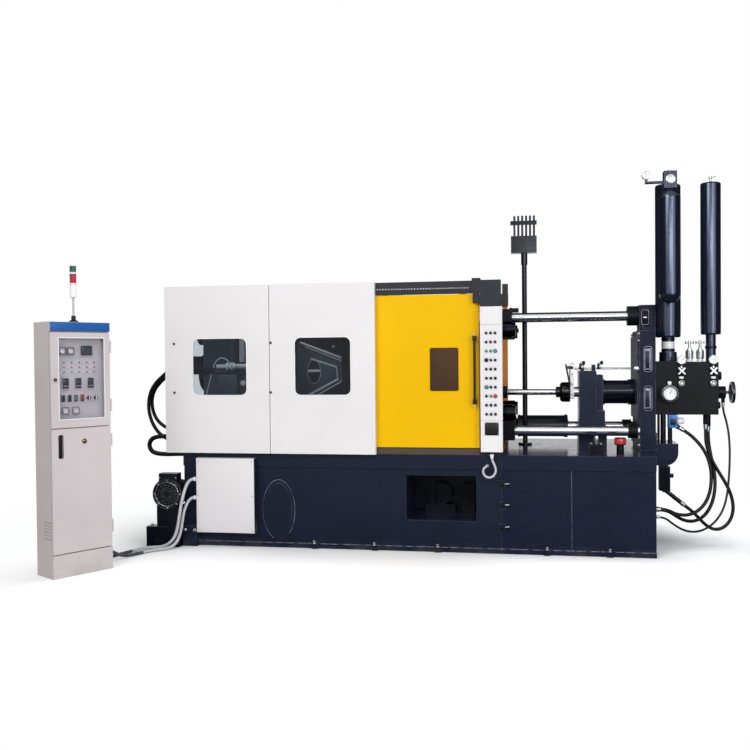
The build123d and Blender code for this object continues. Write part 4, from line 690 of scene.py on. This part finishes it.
# Pale strip: painted light, standing for bright background seen past the parts
inner.block((-1.694, -1.655), (-0.47, -0.462), (1.335, 1.56), WHITE, 0.003)
inner.block((-1.88, -1.6), (-0.452, -0.44), (1.23, 1.262), "inner_dark", 0.004)
for x in (-1.762, -1.727):
    inner.turned((x, -0.42, 1.302), ALONG, bead(0.0302, 0.0308, 0.004, 0.001), "inner_dark", 24)
# Platen side in the lighter navy copy: painted light
inner.block((-1.872, -1.72), (-0.458, -0.446), (1.09, 1.24), "painted_light_navy", 0.004)
inner.turned((-1.672, -0.45, 1.176), FRONT, [(0.02, -0.01), (0.022, 0.004), (0.016, 0.01), (0, 0.01)], WHITE, 20)
inner.done("clamp_rod_and_pipe", "machine")

cheek = Shape()
# Link face in the lighter navy copy: painted light
cheek.plate(
    [(-1.27, 1.487), (-0.928, 1.357), (-0.906, 1.3), (-0.906, 1.23), (-0.944, 1.178), (-1.27, 1.01)], (-0.4, -0.388),
    "painted_light_navy", 0.003,
)
# Dark block behind the link: painted shade filling the window
cheek.block((-1.285, -0.78), (-0.386, -0.378), (1.03, 1.56), "inner_dark", 0.003)
# White lines along the link's edges and steps: painted highlights
for first, second, radius in (
    ((-1.24, 1.4735), (-0.93, 1.356), 0.0062), ((-1.205, 1.442), (-0.935, 1.338), 0.0035),
    ((-1.16, 1.352), (-0.97, 1.291), 0.005), ((-0.97, 1.291), (-0.962, 1.199), 0.003),
    ((-0.962, 1.199), (-1.185, 1.083), 0.0062), ((-0.944, 1.178), (-1.13, 1.076), 0.0035),
    ((-0.928, 1.357), (-0.906, 1.3), 0.003), ((-0.906, 1.23), (-0.944, 1.178), 0.003),
):
    cheek.pipe([(x, CHEEK_FACE, z) for x, z in (first, second)], 1.25 * radius, WHITE, 8)
rim = []
for step in range(25):
    a = radians(15 * step)
    rim.append((-1.1396 + 0.05 * cos(a), 1.2592 + 0.088 * sin(a)))
# Dark oval: painted shade standing for the link's hole
cheek.plate(rim[:-1], (-0.4015, -0.399), "inner_dark", 0.0006)
cheek.pipe([(x, -0.4015, z) for x, z in rim], 0.0026, "grey_plastic", 6)
cheek.turned(
    (-1.181, -0.412, 1.263), ALONG,
    [(0, 0), (0.009, 0.001), (0.01, 0.004), (0.01, 0.088), (0.006, 0.092), (0, 0.092)], WHITE, 20,
)
cheek.turned((-0.99, -0.402, 1.442), FRONT, [(0.01, -0.006), (0.011, 0.004), (0.008, 0.008), (0, 0.008)], STEEL, 16)
cheek.done("front_link_cheek", "machine")

# Door
door = Shape()
door.frame_ring((-0.25, -0.05), (1.121, 1.422), (-0.6495, -0.646), 0.003, 0.007, YELLOW)
for x in (-0.254, -0.046):
    for z in (1.14, 1.27, 1.4):
        door.screw((x, -0.648, z), FRONT, 0.0028, YELLOW)
for z in (1.02, 1.515):
    door.screw((0.063, -0.7, z), FRONT, 0.007, STEEL)
door.done("door_trim", "safety_door")

# Rail of the door
rail = Shape()
for step in range(68):
    x = -1.35 + STUD_PITCH * step
    rail.block((x - 0.0045, x + 0.0045), (-0.6545, -0.651), (1.8285, 1.8345), STEEL, 0.0008)
# Thin light line along the rail: painted highlight
rail.block((-1.36, 0.042), (-0.653, -0.651), (1.8368, 1.8382), PAINTED_HIGHLIGHT, 0.0004)
rail.done("rail_studs", "machine")

# Control panel
panel = Shape()
panel.frame_ring((0.118, 0.24), (0.936, 1.572), (-0.7212, -0.719), 0.006, 0.003, WHITE)
large = {(2, 2): "green_plastic", (3, 0): BLACK, (6, 0): "green_plastic", (7, 2): "red_plastic"}
small_green = ((2, 0), (2, 1), (7, 1))
for row in range(10):
    for column in range(3):
        centre = (0.145 + 0.03 * column, -0.72, 1.518 - 0.0613 * row)
        radius = 0.0145 if (row, column) in large else 0.0102
        tone = large.get((row, column), "green_plastic" if (row, column) in small_green else BLACK)
        collar = [(radius * 0.98, 0), (radius * 0.98, 0.0022), (radius * 0.86, 0.0034), (radius * 0.7, 0.0034)]
        panel.turned(centre, FRONT, collar, BLACK, 24)
        cap = [
            (radius * 0.84, 0.001), (radius * 0.84, 0.009), (radius * 0.74, 0.0112), (radius * 0.3, 0.0119),
            (0, 0.012),
        ]
        panel.turned(centre, FRONT, cap, tone, 24)
panel.block((0.132, 0.226), (-0.723, -0.719), (0.822, 0.91), BLACK, 0.001)
for x in (0.137, 0.221):
    for z in (0.827, 0.905):
        panel.screw((x, -0.723, z), FRONT, 0.0026, STEEL)
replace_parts(panel.done("panel_controls", "machine"), "panel_buttons")

box = Shape()
for x in (0.114, 0.242):
    for z in (0.73, 1.676):
        box.screw((x, -0.72, z), FRONT, 0.0036, STEEL)
box.turned(
    (0.177, -0.687, 0.69), (0, 0, -1),
    [(0.0135, 0), (0.0135, 0.012), (0.011, 0.016), (0.011, 0.024), (0.009, 0.028)], WHITE, 12,
)
box.turned((0.146, -0.692, 0.612), (0, 1, 0), [(0.0125, 0), (0.0125, 0.01), (0.01, 0.015), (0.009, 0.018)], WHITE, 12)
box.done("panel_fittings", "machine")

# Gauges and valve trim
gauges = Shape()
big = (1.406, -0.2525, 1.084)
gauges.turned(big, FRONT, [(0.058, -0.03), (0.058, 0.004), (0.0555, 0.007), (0.05, 0.007), (0.048, 0.003)], STEEL, 48)
gauges.turned(big, FRONT, [(0.0545, 0.0074), (0.053, 0.008), (0.0465, 0.0075), (0.045, 0.003)], BLACK, 48)
dial(gauges, (big[0], big[1] - 0.002, big[2]), FRONT, 0.045, 70, 16)
for x in (1.489, 1.704):
    dial(gauges, (x, -0.2305, 1.323), FRONT, 0.0305, 20)
    gauges.turned((x, -0.213, 1.189), UP, bead(0.0155, 0.0168, 0.016, 0.002), WHITE, 24)
    gauges.turned((x, -0.224, 1.155), FRONT, [(0.022, 0), (0.022, 0.003), (0.017, 0.005), (0.014, 0.001)], STEEL, 24)
    gauges.turned((x, -0.224, 1.155), FRONT, [(0.01, 0), (0.01, 0.006), (0.007, 0.008), (0, 0.008)], WHITE, 20)
    gauges.nut((x, -0.213, 1.262), UP, 0.011, 0.018)
for way in (-1, 1):
    dial(gauges, (1.2505, -0.235 + 0.0145 * way, 2.629), (0, way, 0), 0.0305, 110)
gauges.turned(
    (1.406, -0.23, 1.158), UP, [(0.012, -0.012), (0.014, 0), (0.014, 0.01), (0.01, 0.013), (0, 0.013)], WHITE, 20,
)
gauges.done("gauge_faces", "machine")

valves = Shape()
for x in (1.558, 1.63):
    valves.turned((x, -0.12, 1.3065), UP, bead(0.021, 0.0225, 0.02, 0.002), WHITE, 28)
    for rise in (1.336, 1.352, 1.368):
        valves.turned((x, -0.12, rise), UP, bead(0.026, 0.0285, 0.011, 0.003), STEEL, 28)
    valves.nut((x, -0.12, 1.39), UP, 0.016, 0.014)
    for way in (-1, 1):
        valves.turned(
            (x + 0.024 * way, -0.12, 1.445), (way, 0, 0),
            [(0.006, 0), (0.0085, 0.002), (0.0085, 0.006), (0, 0.008)], BLACK, 16,
        )
valves.turned((1.4195, -0.06, 1.404), UP, bead(0.045, 0.0465, 0.05, 0.001), WHITE, 40)
for rise in (1.385, 1.466):
    valves.turned((1.4195, -0.06, rise), UP, bead(0.045, 0.05, 0.012, 0.003), "dark_paint", 40)
valves.turned((1.7145, -0.06, 1.4), UP, bead(0.035, 0.041, 0.02, 0.004), "dark_paint", 36)
valves.done("valve_trim", "machine")

# Solenoid valve and deck valves
solenoid = Shape()
solenoid.block((1.4045, 1.4665), (-0.1915, -0.1085), (0.8375, 0.933), "blue_plastic", 0.004)
solenoid.turned(
    (1.4665, -0.15, 0.885), ALONG,
    [
        (0.024, 0), (0.024, 0.03), (0.0215, 0.033), (0.0235, 0.036), (0.0235, 0.046), (0.017, 0.05), (0, 0.05),
    ], WHITE, 28,
)
solenoid.block((1.412, 1.458), (-0.186, -0.114), (0.9325, 0.9335), WHITE, 0.0004)
for x in (1.413, 1.458):
    for z in (0.846, 0.924):
        solenoid.screw((x, -0.1915, z), FRONT, 0.0035)
solenoid.block((1.418, 1.452), (-0.205, -0.19), (0.862, 0.9), BLACK, 0.002)
solenoid.done("solenoid_valve", "machine")

knob = Shape()
knob.turned(
    (1.038, -0.56, 0.7495), UP,
    [
        (0.012, -0.07), (0.025, -0.0695), (0.025, -0.03), (0.018, -0.022), (0.018, 0), (0.037, 0.004), (0.0395, 0.01),
        (0.0395, 0.04), (0.036, 0.0485), (0.018, 0.0505), (0, 0.0505),
    ], "red_plastic", 12,
)
knob.turned(
    (1.038, -0.56, 0.6805), UP,
    [(0.024, 0), (0.0255, 0.002), (0.0255, 0.02), (0.0255, 0.044), (0.019, 0.05)], BLOCK, 24,
)
knob.turned((0.88, -0.56, 0.755), UP, [(0.0165, 0), (0.0175, 0.002), (0.0175, 0.05), (0.0165, 0.054)], STEEL, 24)
for x in (0.845, 0.91):
    for y in (-0.587, -0.533):
        knob.screw((x, y, 0.755), UP, 0.0065)
knob.done("deck_valves", "machine")

# Motor and junction box
motor = Shape()
for step in range(27):
    a = radians(-38 + 256 * step / 26)
    x, z = MOTOR_X + 0.1125 * cos(a), MOTOR_Z + 0.1125 * sin(a)
    motor.block(
        (x - 0.0035, x + 0.0035), (-0.742, -0.665), (z - 0.0035, z + 0.0035), "dark_paint", 0.0012,
        -(step * 256 / 26 - 38),
    )
ring = [(0.1005, 0), (0.108, 0.0), (0.108, 0.006), (0.105, 0.008), (0.1005, 0.004)]
motor.turned((MOTOR_X, -0.7545, MOTOR_Z), FRONT, ring, "slate_paint", 56)
motor.turned(
    (MOTOR_X, -0.7605, MOTOR_Z), FRONT, [(0.09, -0.001), (0.0885, 0.0025), (0.0855, 0.0025), (0.084, 0)], STEEL, 48,
)
for radius in (0.026, 0.046, 0.066):
    motor.turned(
        (MOTOR_X, -0.7605, MOTOR_Z), FRONT,
        [(radius, 0), (radius, 0.0025), (radius + 0.003, 0.0025), (radius + 0.003, 0)], "slate_paint", 40,
    )
for step in range(14):
    a = radians(360 * step / 14)
    x, z = MOTOR_X + 0.05 * cos(a), MOTOR_Z + 0.05 * sin(a)
    motor.block(
        (x - 0.026, x + 0.026), (-0.7628, -0.76), (z - 0.0035, z + 0.0035), "slate_paint", 0.001, -360 * step / 14,
    )
for step in range(8):
    a = radians(45 * step)
    motor.nut((MOTOR_X + 0.099 * cos(a), -0.7555, MOTOR_Z + 0.099 * sin(a)), FRONT, 0.006, 0.006)
for x in (-2.215, -2.093):
    motor.screw((x, -0.7392, 0.5), FRONT, 0.005)
motor.done("motor_trim", "machine")

lid = Shape()
lid.block((-1.95, -1.517), (-0.7035, -0.699), (0.106, 0.64), "box_paint_with_painted_shade", 0.0018)
for x in (-1.935, -1.532):
    for z in (0.124, 0.373, 0.622):
        lid.screw((x, -0.7035, z), FRONT, 0.0045)
for z in (0.488, 0.353):
    lid.turned(
        (-1.963, -0.685, z), (-1, 0, 0), [(0.0165, 0), (0.0165, 0.01), (0.013, 0.014), (0.011, 0.02)], WHITE, 12,
    )
lid.done("junction_lid", "machine")

# Hose ends
ends = Shape()
for name, (radius, *_, points) in cords.items():
    if "conduit" in name:
        continue
    points = metres(points)
    for first, second in ((points[0], points[1]), (points[-1], points[-2])):
        start = Vector(first)
        along = (Vector(second) - start).normalized()
        base = start + along * 0.002
        crimp = [(radius + 0.0035, 0), (radius + 0.0035, 0.01), (radius + 0.0016, 0.0115), (radius + 0.0042, 0.013)]
        crimp += [(radius + 0.0042, 0.024), (radius + 0.002, 0.0255), (radius + 0.002, 0.034), (radius * 0.98, 0.036)]
        ends.turned(base, along, crimp, STEEL, 20)
ends.done("hose_ends", "machine")

# Bolts, clips, seam lines, and painted highlights on the pocket rims and edges of the frame and the beds
bolts = Shape()
for y in (-0.235, 0.235):
    for z in (0.715, 0.77, 1.46, 1.51):
        bolts.nut((1.2, y, z), (-1, 0, 0), 0.011, 0.012)
# Light rims and borders round the two pockets: painted highlight
for low, high in ((0.967, 1.136), (1.243, 1.417)):
    bolts.frame_ring((1.233, 1.281), (low, high), (-0.2515, -0.249), 0.016, 0.0045, PAINTED_HIGHLIGHT)
    bolts.block((1.2375, 1.2765), (-0.246, -0.24), (low + 0.012, high - 0.012), PAINTED_HIGHLIGHT, 0.002)
    bolts.block((1.24, 1.268), (-0.2475, -0.2455), (low + 0.02, high - 0.03), "block_navy", 0.0008)
bolts.block((1.243, 1.269), (-0.0915, -0.0895), (1.628, 1.636), WHITE, 0.0008)
for x in (0.81, 0.939):
    bolts.block((x - 0.021, x + 0.021), (-0.094, -0.026), (1.2915, 1.2985), BLACK, 0.002)
    bolts.block((x - 0.024, x - 0.004), (-0.0965, -0.0935), (1.262, 1.296), BLACK, 0.001)
    bolts.turned(
        (x + 0.012, -0.06, 1.2985), UP,
        [(0.01, 0), (0.011, 0.003), (0.011, 0.016), (0.005, 0.021), (0, 0.021)], BLACK, 20,
    )
    bolts.nut((x, -0.09, 1.276), FRONT, 0.009, 0.012)
    bolts.nut((x - 0.006, -0.06, 1.2985), UP, 0.008, 0.012)
bolts.turned(
    (1.178, -0.246, 1.262), FRONT, [(0.016, -0.02), (0.018, 0), (0.018, 0.01), (0.01, 0.014), (0, 0.014)], STEEL, 20,
)
# Light rim round the upper inset: painted highlight
bolts.frame_ring((1.232, 1.28), (1.582, 1.684), (-0.0925, -0.089), 0.01, 0.003, PAINTED_HIGHLIGHT)
bolts.block((1.233, 1.279), (-0.0908, -0.0895), (1.583, 1.683), BLOCK, 0.0006)
# Broken light strips along the bed foot: painted highlight
spot = -2.06
while spot < 1.24:
    bolts.block((spot, spot + 0.055), (-0.6508, -0.648), (0.0318, 0.0346), PAINTED_HIGHLIGHT, 0.0006)
    spot += 0.058 + 0.02 * (1 + sin(spot * 37.0))
# Broken light arcs round the oval access cover: painted highlight
for first, last, radius in (
    (-50, 25, 0.0016), (25, 60, 0.0007), (60, 150, 0.0016), (150, 215, 0.0007), (215, 250, 0.0013),
):
    arc = [radians(first + (last - first) * step / 16) for step in range(17)]
    bolts.pipe([(OVAL_X + 0.12 * cos(a), -0.6422, OVAL_Z + 0.216 * sin(a)) for a in arc], radius, PAINTED_HIGHLIGHT, 6)
bolts.block((0.706, 0.71), BED_FACE, (0.036, 0.58), BLOCK, 0.0006)
# Light line beside the dark seam: painted highlight
bolts.block((0.7105, 0.712), BED_FACE, (0.036, 0.58), PAINTED_HIGHLIGHT, 0.0005)
bolts.frame_ring((0.371, 0.658), (0.07, 0.427), (-0.6348, -0.6338), 0.02, 0.003, BLOCK)
bolts.frame_ring((0.424, 0.605), (0.14, 0.35), (-0.6346, -0.6338), 0.02, 0.002, BLOCK)
for rise in (0.179, 0.331, 0.475):
    bolts.turned(
        (0.226, -0.66, rise), (1, 0, 0.12),
        [
            (0, 0), (0.01, 0.001), (0.01, 0.02), (0.006, 0.024), (0.006, 0.062), (0.009, 0.064), (0.009, 0.074),
            (0, 0.076),
        ], BLOCK, 16,
    )
    bolts.turned(
        (0.262, -0.664, rise + 0.008), (1, 0, 0.12), [(0, 0), (0.0045, 0.001), (0.0045, 0.03), (0, 0.031)], STEEL, 10,
    )
for x in (0.545, 0.96, -1.082, -0.647, -0.201):
    bolts.nut((x, -0.672, 0.04), UP, 0.014, 0.02)
for x in (-2.045, -1.972):
    bolts.nut((x, -0.695, 0.115), FRONT, 0.011, 0.012)
for x in (-2.29, -2.16):
    bolts.nut((x, -0.715, 0.146), UP, 0.01, 0.014)
for y in (-0.135, 0.135):
    bolts.nut((1.3175, y, 0.8), UP, 0.009, 0.012)
for x in (0.802, 0.965):
    bolts.screw((x, -0.146, 0.83), FRONT, 0.01, "dark_paint")
bolts.done("frame_bolts", "machine")

# Rear rod sleeve, stroke arm and bottle tops
jacket = Shape()
jacket.turned(
    (0.33, 0.23, 0.817), ALONG,
    [(0.058, 0), (0.082, 0.002), (0.086, 0.006), (0.086, 0.022), (0.082, 0.026), (0.082, 0.355), (0.088, 0.358),
     (0.088, 0.378), (0.084, 0.382), (0.058, 0.382)], "dark_paint", 48,
)
jacket.done("rear_rod_jacket", "machine")

arm = Shape()
arm.block((0.699, 0.712), (-0.112, -0.096), (1.14, 1.298), BLACK, 0.003, -11)
arm.block((0.724, 0.75), (-0.0965, -0.094), (1.046, 1.284), WHITE, 0.001)
arm.block((0.716, 0.722), (-0.0985, -0.092), (1.046, 1.284), BLACK, 0.001)
arm.block((0.69, 0.745), (-0.11, -0.085), (1.262, 1.282), BLACK, 0.003)
arm.block((0.728, 0.742), (-0.104, -0.096), (1.268, 1.296), STEEL, 0.002)
for z in (1.075, 1.15, 1.225):
    arm.nut((0.737, -0.0965, z), FRONT, 0.007, 0.008)
arm.turned(
    (0.737, -0.06, 1.29), UP, [(0.008, -0.004), (0.01, 0.0), (0.01, 0.01), (0.005, 0.014), (0, 0.014)], STEEL, 20,
)
arm.done("stroke_arm_trim", "shot_plunger")

top_cap = Shape()
top_cap.turned(
    (1.7145, -0.06, 2.585), UP,
    [
        (0.03, 0), (0.03, 0.006), (0.012, 0.01), (0.008, 0.016), (0.008, 0.034), (0.012, 0.038), (0.012, 0.052),
        (0, 0.052),
    ], STEEL, 28,
)
top_cap.turned(
    (1.7145, -0.06, 2.628), (0.8, 0, 0.35),
    [(0.007, 0), (0.007, 0.02), (0.011, 0.024), (0.011, 0.036), (0, 0.036)], WHITE, 20,
)
top_cap.turned(
    (1.4105, -0.275, 2.59), FRONT,
    [
        (0.03, -0.002), (0.033, 0.0), (0.033, 0.006), (0.024, 0.01), (0.018, 0.01), (0.014, 0.004), (0, 0.004),
    ], STEEL, 36,
)
top_cap.nut((1.4105, -0.235, 2.649), UP, 0.014, 0.0105)
top_cap.done("bottle_fittings", "machine")

# Cabinet
cabinet_place = Matrix.Translation((-2.466, -1.773, 0)) @ Matrix.Rotation(radians(58), 4, "Z")
band = Shape()
band.block((0.0004, 0.4146), (-0.0006, 0.0186), (1.5405, 1.5985), "blue_paint", 0.0015)
band.done("cabinet_band", "machine", cabinet_place)
pole = Shape()
pole.turned(
    (0.217, 0.1, 1.6), UP,
    [(0.03, 0), (0.03, 0.008), (0.024, 0.012), (0.014, 0.018), (0.014, 0.04), (0.009, 0.044)], BLACK, 28,
)
pole.turned((0.217, 0.1, 1.758), UP, [(0.012, 0), (0.021, 0.006), (0.021, 0.01), (0.02, 0.012)], WHITE, 28)
pole.done("stack_light_base", "machine", cabinet_place)
meters = Shape()
for x in (0.093, 0.149):
    meters.frame_ring((x - 0.021, x + 0.021), (1.396, 1.438), (0.0195, 0.0225), 0.003, 0.003, BLACK)
    dial(meters, (x, 0.0195, 1.417), FRONT, 0.018, 60, 9)
for x in (0.11, 0.18):
    meters.frame_ring((x - 0.021, x + 0.021), (1.02, 1.062), (0.0215, 0.0235), 0.003, 0.003, BLACK)
    dial(meters, (x, 0.0228, 1.041), FRONT, 0.018, 130, 9)
meters.frame_ring((0.226, 0.296), (1.395, 1.445), (0.0245, 0.0265), 0.003, 0.006, BLACK)
meters.block((0.224, 0.298), (0.0252, 0.0275), (1.393, 1.447), "screen", 0.0008)
for x in (0.113, 0.2, 0.286):
    meters.block((x - 0.021, x + 0.021), (0.0212, 0.0235), (1.182, 1.246), BLACK, 0.001)
    meters.block((x - 0.016, x + 0.016), (0.02, 0.0222), (1.214, 1.238), "screen", 0.0008)
    for step in range(3):
        spot = (x - 0.012 + 0.012 * step, 0.0212, 1.196)
        meters.turned(
            spot, FRONT, [(0.0036, -0.001), (0.0036, 0.0012), (0.0028, 0.0018), (0, 0.0018)], "grey_plastic", 12,
        )
for x, tone in ((0.096, BLACK), (0.14, BLACK), (0.184, "green_plastic"), (0.228, "red_plastic")):
    meters.block((x - 0.012, x + 0.012), (0.0225, 0.0255), (1.098, 1.14), BLACK, 0.001)
    meters.block((x - 0.008, x + 0.008), (0.0195, 0.0235), (1.104, 1.134), tone, 0.0015)
for x in (0.272, 0.32):
    meters.turned((x, 0.0235, 1.119), FRONT, [(0.0135, 0), (0.0135, 0.005), (0.011, 0.0075), (0, 0.0075)], BLACK, 24)
    meters.block((x - 0.0022, x + 0.0022), (0.0125, 0.0165), (1.108, 1.13), WHITE, 0.0008)
for row in range(3):
    for column in range(10):
        spot = (0.082 + 0.0262 * column, 0.032, 1.344 - 0.03 * row)
        light = (BLACK, "red_plastic", "green_plastic")[row] if column % 2 else WHITE
        meters.turned(spot, FRONT, [(0.0048, 0), (0.0048, 0.002), (0.0036, 0.0042), (0, 0.005)], light, 12)
meters.done("cabinet_meters", "machine", cabinet_place)

upper = Shape()
upper.frame_ring((0.058, 0.37), (0.99, 1.497), (-0.0012, 0.001), 0.004, 0.006, WHITE)
upper.turned((0.03, -0.0055, 1.238), FRONT, [(0.01, -0.005), (0.01, 0.002), (0.0065, 0.003), (0, 0.003)], BLACK, 24)
upper.block((0.0288, 0.0312), (-0.0095, -0.008), (1.233, 1.243), STEEL, 0.0004)
upper.done("cabinet_upper_trim", "cabinet_upper_door", cabinet_place)
lower = Shape()
lower.turned(
    (0.223, -0.0045, 0.845), FRONT, [(0.015, -0.0045), (0.015, -0.001), (0.011, 0.002), (0.0105, 0.002)], BLACK, 28,
)
lower.turned(
    (0.223, -0.0045, 0.845), FRONT, [(0.0106, 0.001), (0.0106, 0.002), (0.007, 0.003), (0, 0.003)], "brass", 24,
)
lower.block((0.221, 0.225), (-0.0085, -0.007), (0.84, 0.85), BLACK, 0.0004)
lower.frame_ring((0.05, 0.075), (0.75, 0.889), (-0.0012, 0.001), 0.004, 0.004, BLACK)
lower.block((0.0505, 0.0745), (0.0052, 0.0068), (0.7505, 0.8885), BLACK, 0.0006)
lower.done("cabinet_lower_trim", "cabinet_lower_door", cabinet_place)

# Floor, sky and lamps
floor_mesh = bpy.data.meshes.new("floor")
reach = 14.0
floor_mesh.from_pydata(
    [(-reach, -reach, 0), (reach, -reach, 0), (reach, reach, 0), (-reach, reach, 0)], [], [(0, 1, 2, 3)],
)
floor = add("floor", floor_mesh)
floor.location = (0, 0, -0.001)
ground = bpy.data.materials.new("floor")
ground.use_nodes = True
tree = ground.node_tree
tree.nodes.remove(tree.nodes["Principled BSDF"])
diffuse = tree.nodes.new("ShaderNodeBsdfDiffuse")
diffuse.inputs["Color"].default_value = (0.86, 0.86, 0.86, 1)
clear = tree.nodes.new("ShaderNodeBsdfTransparent")
fade = tree.nodes.new("ShaderNodeMixShader")
place = tree.nodes.new("ShaderNodeTexCoord").outputs["Object"]
far = distance_from(tree, place, (-0.3, -0.4, 0), (0.8, 1, 1))
tree.links.new(ramp(tree, far, (1.5, 3.4), (0.0, 1.0)), fade.inputs[0])
tree.links.new(diffuse.outputs["BSDF"], fade.inputs[1])
tree.links.new(clear.outputs["BSDF"], fade.inputs[2])
tree.links.new(fade.outputs["Shader"], tree.nodes["Material Output"].inputs["Surface"])
floor_mesh.materials.append(ground)

world = bpy.data.worlds.new("studio")
bpy.context.scene.world = world
world.use_nodes = True
tree = world.node_tree
soft = tree.nodes["Background"]
soft.inputs["Color"].default_value = (0.97, 0.98, 1.0, 1)
soft.inputs["Strength"].default_value = 0.4
white = tree.nodes.new("ShaderNodeBackground")
white.inputs["Color"].default_value = (1, 1, 1, 1)
white.inputs["Strength"].default_value = 1.0
path = tree.nodes.new("ShaderNodeLightPath")
seen = path.outputs["Is Camera Ray"]
for kind in ("Is Glossy Ray", "Is Transmission Ray"):
    seen = maths(tree, "ShaderNodeMath", "MAXIMUM", seen, path.outputs[kind])["Value"]
mix = tree.nodes.new("ShaderNodeMixShader")
tree.links.new(seen, mix.inputs[0])
tree.links.new(soft.outputs["Background"], mix.inputs[1])
tree.links.new(white.outputs["Background"], mix.inputs[2])
tree.links.new(mix.outputs["Shader"], tree.nodes["World Output"].inputs["Surface"])


def lamp(name, place, target, size, power, colour=(1, 1, 1)):
    """A soft rectangular lamp that points at a target."""
    light = bpy.data.lights.new(name, "AREA")
    light.shape = "RECTANGLE"
    light.size, light.size_y = size
    light.energy = power
    light.color = colour
    holder = add(name, light)
    holder.location = place
    holder.rotation_euler = (Vector(target) - Vector(place)).to_track_quat("-Z", "Y").to_euler()
    return holder


lamp("key", (-2.6, -6.2, 4.6), (-0.5, 0, 0.9), (3.4, 2.4), 215)
lamp("strip", (3.3, -5.4, 2.3), (1.5, 0, 1.9), (0.75, 3.4), 80, (0.9, 0.93, 1.0))
lamp("band", (1.7, -5.6, 2.75), (1.1, 0, 1.1), (2.6, 0.45), 50, (0.92, 0.94, 1.0))
lamp("fill", (4.8, -4.6, 2.6), (0.4, 0, 1.0), (2.4, 2.4), 30, (0.98, 0.99, 1.0))
lamp("top", (0.2, 0.3, 6.2), (0, 0, 0), (5.0, 3.0), 330).visible_glossy = False
lamp("back", (-0.5, 5.0, 3.4), (-0.5, 0, 1.2), (4.0, 1.6), 120).visible_glossy = False

# Dark cards round the machine, for reflections alone
cards_mesh = bpy.data.meshes.new("dark_cards")
cards_mesh.from_pydata(
    [(-9, -9, 0.0005), (9, -9, 0.0005), (9, 7, 0.0005), (-9, 7, 0.0005),
     (-9, 6, 1.7), (9, 6, 1.7), (9, 6, 5.9), (-9, 6, 5.9), (-9, -1.2, 5.9), (9, -1.2, 5.9),
     (-7, -9, 0.1), (-7, 6, 0.1), (-7, 6, 5.0), (-7, -9, 5.0),
     (8, -6, 0.1), (8, 6, 0.1), (8, 6, 5.0), (8, -6, 5.0)],
    [], [(0, 1, 2, 3), (4, 5, 6, 7), (7, 6, 9, 8), (10, 11, 12, 13), (14, 15, 16, 17)],
)
cards = add("dark_cards", cards_mesh)
cards.visible_camera = False
cards.visible_diffuse = False
cards.visible_transmission = False
cards.visible_shadow = False
dim = bpy.data.materials.new("dark_cards")
dim.use_nodes = True
dim.node_tree.nodes["Principled BSDF"].inputs["Base Color"].default_value = (0.03, 0.03, 0.038, 1)
dim.node_tree.nodes["Principled BSDF"].inputs["Roughness"].default_value = 1.0
cards_mesh.materials.append(dim)
